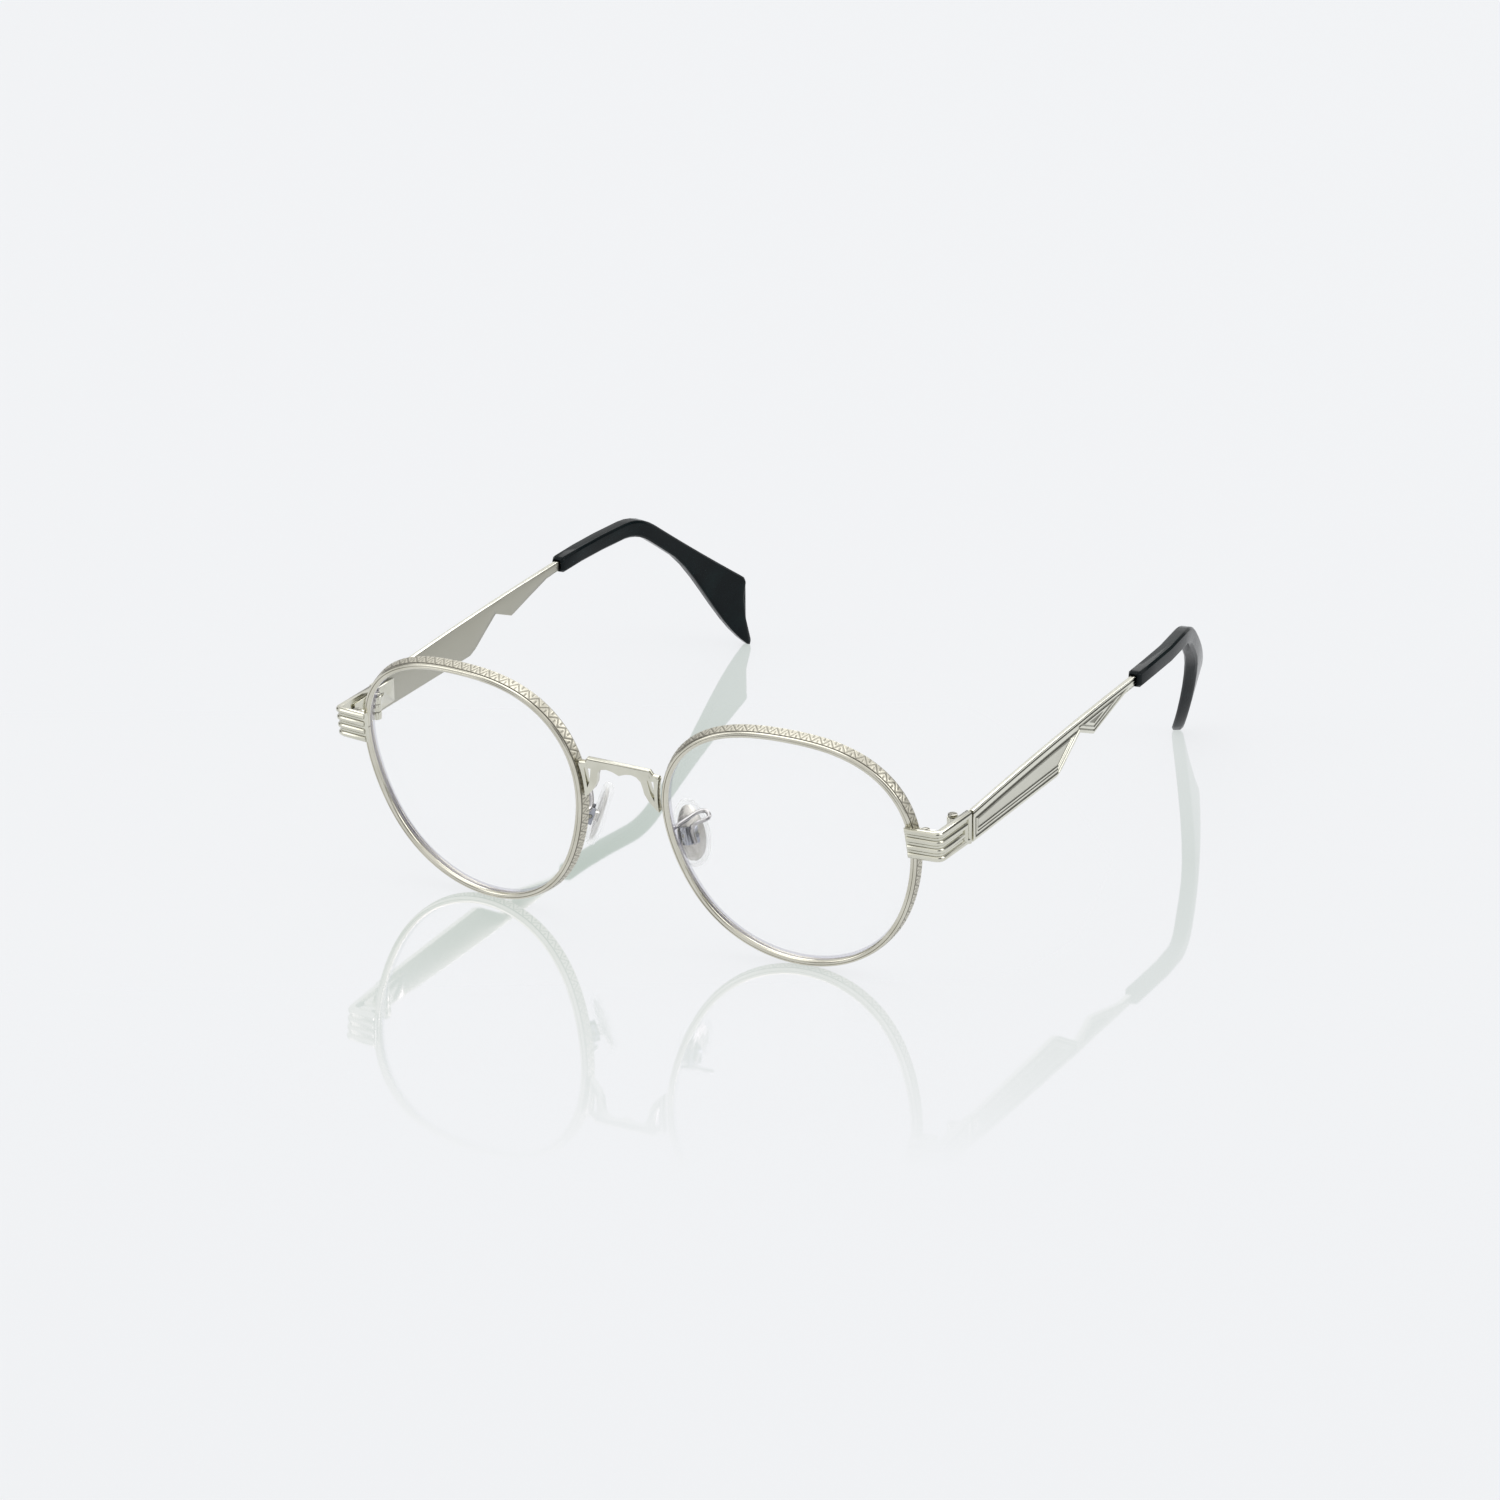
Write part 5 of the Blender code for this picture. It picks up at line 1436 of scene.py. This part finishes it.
        # Each cut: where it applies, the distance it follows, where its strip starts and ends, and how
        # strongly it sinks and carries painted shade.
        cuts = ((1.0, down, 0.42, 0.66, 1.0), (main, panel, 0.0, 0.32, 1.0), (below, inner, 0.0, 0.2, 0.7),
                (main, plain, -0.2, 0.04, 0.8), (wing, lip, 0.0, 0.24, 1.0), (wing, small, 0.0, 0.24, 0.9))
        groove = np.maximum.reduce([where * self.strip(distance, start, end) * tone
                                    for where, distance, start, end, tone in cuts])
        satin = main * self.strip(plain, 0.0, 99.0)
        eye = wing * self.strip(small, 0.75, 99.0)
        ridges = ((1.0, down, 0.2, 0.26), (1.0, down, 1.15, 0.5), (1.0, edge, 0.28, 0.36),
                  (main, panel, 0.55, 0.28), (main, inner, 0.45, 0.28), (wing, lip, 0.5, 0.26))
        ridge = np.maximum.reduce([where * self.bead(distance, middle, half)
                                   for where, distance, middle, half in ridges])
        sunk = self.level * (1 - ridge * (1 - groove)) + groove * self.groove_depth
        sunk = sunk + satin * self.satin_depth + eye * self.eye_depth
        return sunk, np.maximum(groove, eye * self.eye_painted_shade), satin * (1 - groove)

    def section(self) -> np.ndarray:
        """Draw the plate's section.

        Returns:
            Rows of share up, offset up, depth and whether relief applies.
        """
        back = self.thickness
        turns = np.radians([18.0, 36.0, 54.0, 72.0, 90.0])
        arc = [(self.round_off * (1 - math.sin(turn)), self.round_off * (1 - math.cos(turn)))
               for turn in turns]
        steps = np.arange(self.round_off, self.reach, self.row_step)
        rows = [(0.0, step, 0.0, 1.0) for step in steps]
        rows += [(share, self.reach * (1 - 2 * share), 0.0, 1.0)
                 for share in np.linspace(0.0, 1.0, self.middle_rows)]
        rows += [(1.0, -step, 0.0, 1.0) for step in reversed(steps)]
        rows += [(1.0, -inset, depth, 0.0) for inset, depth in arc]
        rows += [(1.0, 0.0, back - 0.15 * MM, 0.0), (1.0, -0.04 * MM, back - 0.05 * MM, 0.0),
                 (1.0, -0.14 * MM, back, 0.0), (0.5, 0.0, back, 0.0), (0.0, 0.14 * MM, back, 0.0),
                 (0.0, 0.04 * MM, back - 0.05 * MM, 0.0), (0.0, 0.0, back - 0.15 * MM, 0.0)]
        rows += [(0.0, inset, depth, 0.0) for inset, depth in reversed(arc)]
        return np.array(rows + rows[:1])

    def build(self) -> bpy.types.Object:
        """Lay a grid over the section and the stations, and close it to a plate.

        Returns:
            The temple, in place.
        """
        corners = [y * MM for y, _ in self.foot[1:-1]]
        places = np.unique(np.concatenate([np.linspace(self.start, self.end, self.stations), corners]))
        section = self.section()
        along, across = len(places) - 1, len(section) - 1
        clear_selection()
        bpy.ops.mesh.primitive_grid_add(x_subdivisions=along, y_subdivisions=across, size=1.0)
        plate = bpy.context.object
        plate.name = plate.data.name = "temple_plate_" + self.side.label
        points = points_of(plate)
        y = np.interp((points[:, 0] + 0.5) * along, np.arange(len(places)), places)
        row = np.rint((points[:, 1] + 0.5) * across).astype(int)
        share, offset, depth, shaped = section[row].T
        top, bottom = self.top(y), self.bottom(y)
        z = bottom + (top - bottom) * share + offset * np.minimum(1.0, (top - bottom) / (2 * self.reach))
        sunk, groove, satin = self.relief(y, z)
        x = SIDE_X - self.lean * (y - self.lean_start) - depth - sunk * shaped
        move_points(plate, np.stack([self.side.value * x, FRONT_Y + y, HINGE_Z + z], 1))
        # Painted shade in the grooves and the sunk eye.
        write_attribute(plate, "recess", groove * shaped)
        write_attribute(plate, "stroke", satin * shaped)
        # Painted shade: the inner face is marked for a darker colour than the outer face.
        write_attribute(plate, "band", (depth > self.thickness - 0.01 * MM).astype(float))
        with editing(plate):
            bpy.ops.mesh.remove_doubles(threshold=WELD)
            bpy.ops.mesh.select_all(action="SELECT")
            bpy.ops.mesh.fill_holes(sides=0)
        face_outwards(plate)
        shade(plate, 80.0)
        return plate


@dataclass
class TempleTip:
    """One black moulded tip, with its edges rounded.

    Attributes:
        side: The wearer's side.
        ease: The width of the rounded edges.
        turns: The segments of a rounded edge.
        crease: The least angle, in degrees, of an edge that is rounded.
        smooth: The angle, in degrees, up to which faces shade smooth.
    """

    side: Side
    ease: float = 0.4 * MM
    turns: int = 4
    crease: float = 35.0
    smooth: float = 60.0

    def build(self) -> bpy.types.Object:
        """Return the tip as a softened copy of its solid."""
        return FinishedCopy("temple_tip_" + self.side.label, self.ease, self.turns, self.crease,
                            self.smooth).build()


@dataclass
class Finishes:
    """Every finish of the spectacles, made once.

    Attributes:
        champagne: The plating of the frame's plain parts.
        steel: The screws.
        arm: The pad arms.
        box: The boxes that hold the pads.
        rosy: The plates and cores inside the pads.
        band: The rims' engraved band.
        relief: The temples.
        glass: The lenses.
        silicone: The pads.
        acetate: The tips, by side.
    """

    # The third colour of each metal is painted shade in its corners and slots.
    champagne: bpy.types.Material = field(default_factory=PolishedMetal(
        "champagne_metal", (0.70, 0.69, 0.595), (0.63, 0.62, 0.53), (0.13, 0.125, 0.09)).build)
    steel: bpy.types.Material = field(default_factory=PolishedMetal(
        "screw_steel", (0.37, 0.36, 0.31), (0.30, 0.29, 0.25), (0.04, 0.04, 0.035), 0.24).build)
    arm: bpy.types.Material = field(default_factory=PolishedMetal(
        "pad_metal", (0.50, 0.49, 0.49), (0.42, 0.41, 0.42), (0.08, 0.08, 0.09), 0.14).build)
    box: bpy.types.Material = field(default_factory=PolishedMetal(
        "pad_box_metal", (0.38, 0.39, 0.43), (0.29, 0.30, 0.34), (0.05, 0.05, 0.07), 0.14).build)
    rosy: bpy.types.Material = field(default_factory=PolishedMetal(
        "pad_plate_metal", (0.66, 0.64, 0.60), (0.58, 0.565, 0.54), (0.32, 0.30, 0.31), 0.24).build)
    # Rims: the second colour is painted shade in the engraved strokes.
    band: bpy.types.Material = field(default_factory=EngravedMetal(
        "engraved_band", (0.63, 0.605, 0.515), (0.16, 0.15, 0.12)).build)
    # Temples: the first colour is painted shade on the inner faces, the second the satin field's own
    # colour, the third painted shade in grooves and the eye.
    relief: bpy.types.Material = field(default_factory=EngravedMetal(
        "temple_relief", (0.43, 0.42, 0.355), (0.62, 0.615, 0.545), (0.10, 0.097, 0.07),
        colour=(0.76, 0.755, 0.665), tone=(0.70, 0.69, 0.60), roughness=0.18, band_rough=0.16,
        stroke_rough=0.2).build)
    glass: bpy.types.Material = field(default_factory=ClearLens().build)
    silicone: bpy.types.Material = field(default_factory=SoftSilicone().build)
    acetate: dict[Side, bpy.types.Material] = field(default_factory=lambda: {
        Side.LEFT: PolishedAcetate("acetate_left", coat=0.22, roughness=0.22).build(),
        Side.RIGHT: PolishedAcetate("acetate_right").build()})


@dataclass
class Spectacles:
    """The dressed pieces of the object.

    Attributes:
        finishes: The finishes that they wear.
    """

    finishes: Finishes = field(default_factory=Finishes)

    def dressed(self, piece: bpy.types.Object, material: bpy.types.Material, node: str) -> None:
        """Give a piece its finish and let it stand for its node."""
        set_material(piece, material)
        stand_for(piece, node)

    def copied(self, node: str, material: bpy.types.Material) -> None:
        """Finish a copy of a node's solid and let it stand for the node."""
        self.dressed(FinishedCopy(node).build(), material, node)

    def build_side(self, side: Side) -> None:
        """Build and dress one side's pieces.

        Args:
            side: The wearer's side.
        """
        finish = self.finishes
        self.dressed(RimWire(side).build(), finish.band, "rim_" + side.label)
        self.dressed(Lens(side).build(), finish.glass, "lens_" + side.label)
        self.dressed(NosePad(side).build(), finish.silicone, "nose_pad_" + side.label)
        plate = NosePad(side).plate()
        set_material(plate, finish.rosy)
        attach(plate, frame["nodes"]["nose_pad_" + side.label]["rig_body"])
        self.dressed(TempleRelief(side).build(), finish.relief, "temple_" + side.label)
        self.dressed(TempleTip(side).build(), finish.acetate[side], "temple_tip_" + side.label)
        copies = (("end_piece", finish.champagne), ("closing_block_upper", finish.champagne),
                  ("closing_block_lower", finish.champagne), ("front_hinge", finish.champagne),
                  ("temple_hinge", finish.champagne), ("pad_arm", finish.arm), ("pad_box", finish.box),
                  ("pad_core", finish.rosy), ("closing_screw", finish.steel),
                  ("hinge_screw", finish.steel), ("pad_screw", finish.steel))
        for part, material in copies:
            self.copied(part + "_" + side.label, material)

    def build(self) -> None:
        """Build and dress both sides and the bridge."""
        for side in Side:
            self.build_side(side)
        self.copied("bridge", self.finishes.champagne)


@dataclass(frozen=True)
class SoftBox:
    """A white rectangular lamp that faces the object.

    Attributes:
        name: The lamp's name.
        place: Where it hangs.
        size: Its width and height.
        power: Its output in watts.
    """

    name: str
    place: tuple[float, float, float]
    size: tuple[float, float]
    power: float

    def hang(self) -> None:
        """Put the lamp in the scene."""
        data = bpy.data.lights.new(self.name, "AREA")
        data.shape = "RECTANGLE"
        data.size, data.size_y = self.size
        data.energy = self.power
        lamp = bpy.data.objects.new(self.name, data)
        bpy.context.scene.collection.objects.link(lamp)
        lamp.location = self.place
        lamp.rotation_mode = "QUATERNION"
        lamp.rotation_quaternion = Vector(self.place).to_track_quat("Z", "Y")


@dataclass
class Studio:
    """The floor, the lamps, the world and the camera.

    Attributes:
        elevation: The camera's angle above the level.
        roll: Its turn about its own view.
        camera_place: Where it stands.
        lens: Its focal length in millimetres.
        sensor: The width of its sensor in millimetres.
        clip: The nearest and furthest distances that it sees.
        floor_size: The width of the floor.
        floor_gap: How far the floor lies below the object's lowest point.
        lamps: The soft boxes.
    """

    elevation: float = math.radians(23.6877)
    roll: float = math.radians(-0.62157)
    camera_place: tuple[float, float, float] = (0.673631, -1.251896, 0.636918)
    lens: float = 191.818
    sensor: float = 36.0
    clip: tuple[float, float] = (0.05, 50.0)
    floor_size: float = 12.0
    floor_gap: float = 0.02 * MM
    lamps: tuple[SoftBox, ...] = (SoftBox("top_box", (-0.15, -0.1, 1.1), (0.8, 0.8), 2.4),
                                  SoftBox("back_box", (-0.22, 0.86, 0.77), (0.85, 0.36), 2.4),
                                  SoftBox("left_box", (-0.95, -0.8, 0.6), (0.45, 0.8), 1.3),
                                  SoftBox("right_box", (1.1, 0.35, 0.75), (0.4, 0.7), 1.8))

    def camera(self) -> None:
        """Set the camera at the photograph's viewing angle."""
        data = bpy.data.cameras.new("studio_camera")
        data.lens = self.lens
        data.sensor_width = self.sensor
        data.clip_start, data.clip_end = self.clip
        camera = bpy.data.objects.new("studio_camera", data)
        bpy.context.scene.collection.objects.link(camera)
        back = Vector((math.sin(VIEW_TURN) * math.cos(self.elevation),
                       -math.cos(VIEW_TURN) * math.cos(self.elevation), math.sin(self.elevation)))
        right = (-back).cross(Vector((0, 0, 1))).normalized()
        up = back.cross(right)
        turned_right = right * math.cos(self.roll) + up * math.sin(self.roll)
        turned_up = -right * math.sin(self.roll) + up * math.cos(self.roll)
        camera.matrix_world = Matrix.Translation(self.camera_place) @ Matrix(
            (turned_right, turned_up, back)).transposed().to_4x4()
        bpy.context.scene.camera = camera

    def floor(self) -> None:
        """Lay the pale floor."""
        clear_selection()
        bpy.ops.mesh.primitive_plane_add(size=self.floor_size, location=(0, 0, -self.floor_gap))
        plane = bpy.context.object
        plane.name = "studio_floor"
        set_material(plane, StudioFloor().build())

    def light(self) -> None:
        """Hang the soft boxes and set the world."""
        for lamp in self.lamps:
            lamp.hang()
        world = bpy.data.worlds.new("studio_world")
        bpy.context.scene.world = world
        Surroundings(world).build()

    def build(self) -> None:
        """Set up everything that isn't the object."""
        self.floor()
        self.light()
        self.camera()
        bpy.context.scene.view_settings.view_transform = "Standard"


def main() -> None:
    Spectacles().build()
    Studio().build()
    clear_selection()
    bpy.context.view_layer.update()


if __name__ == "__main__":
    main()
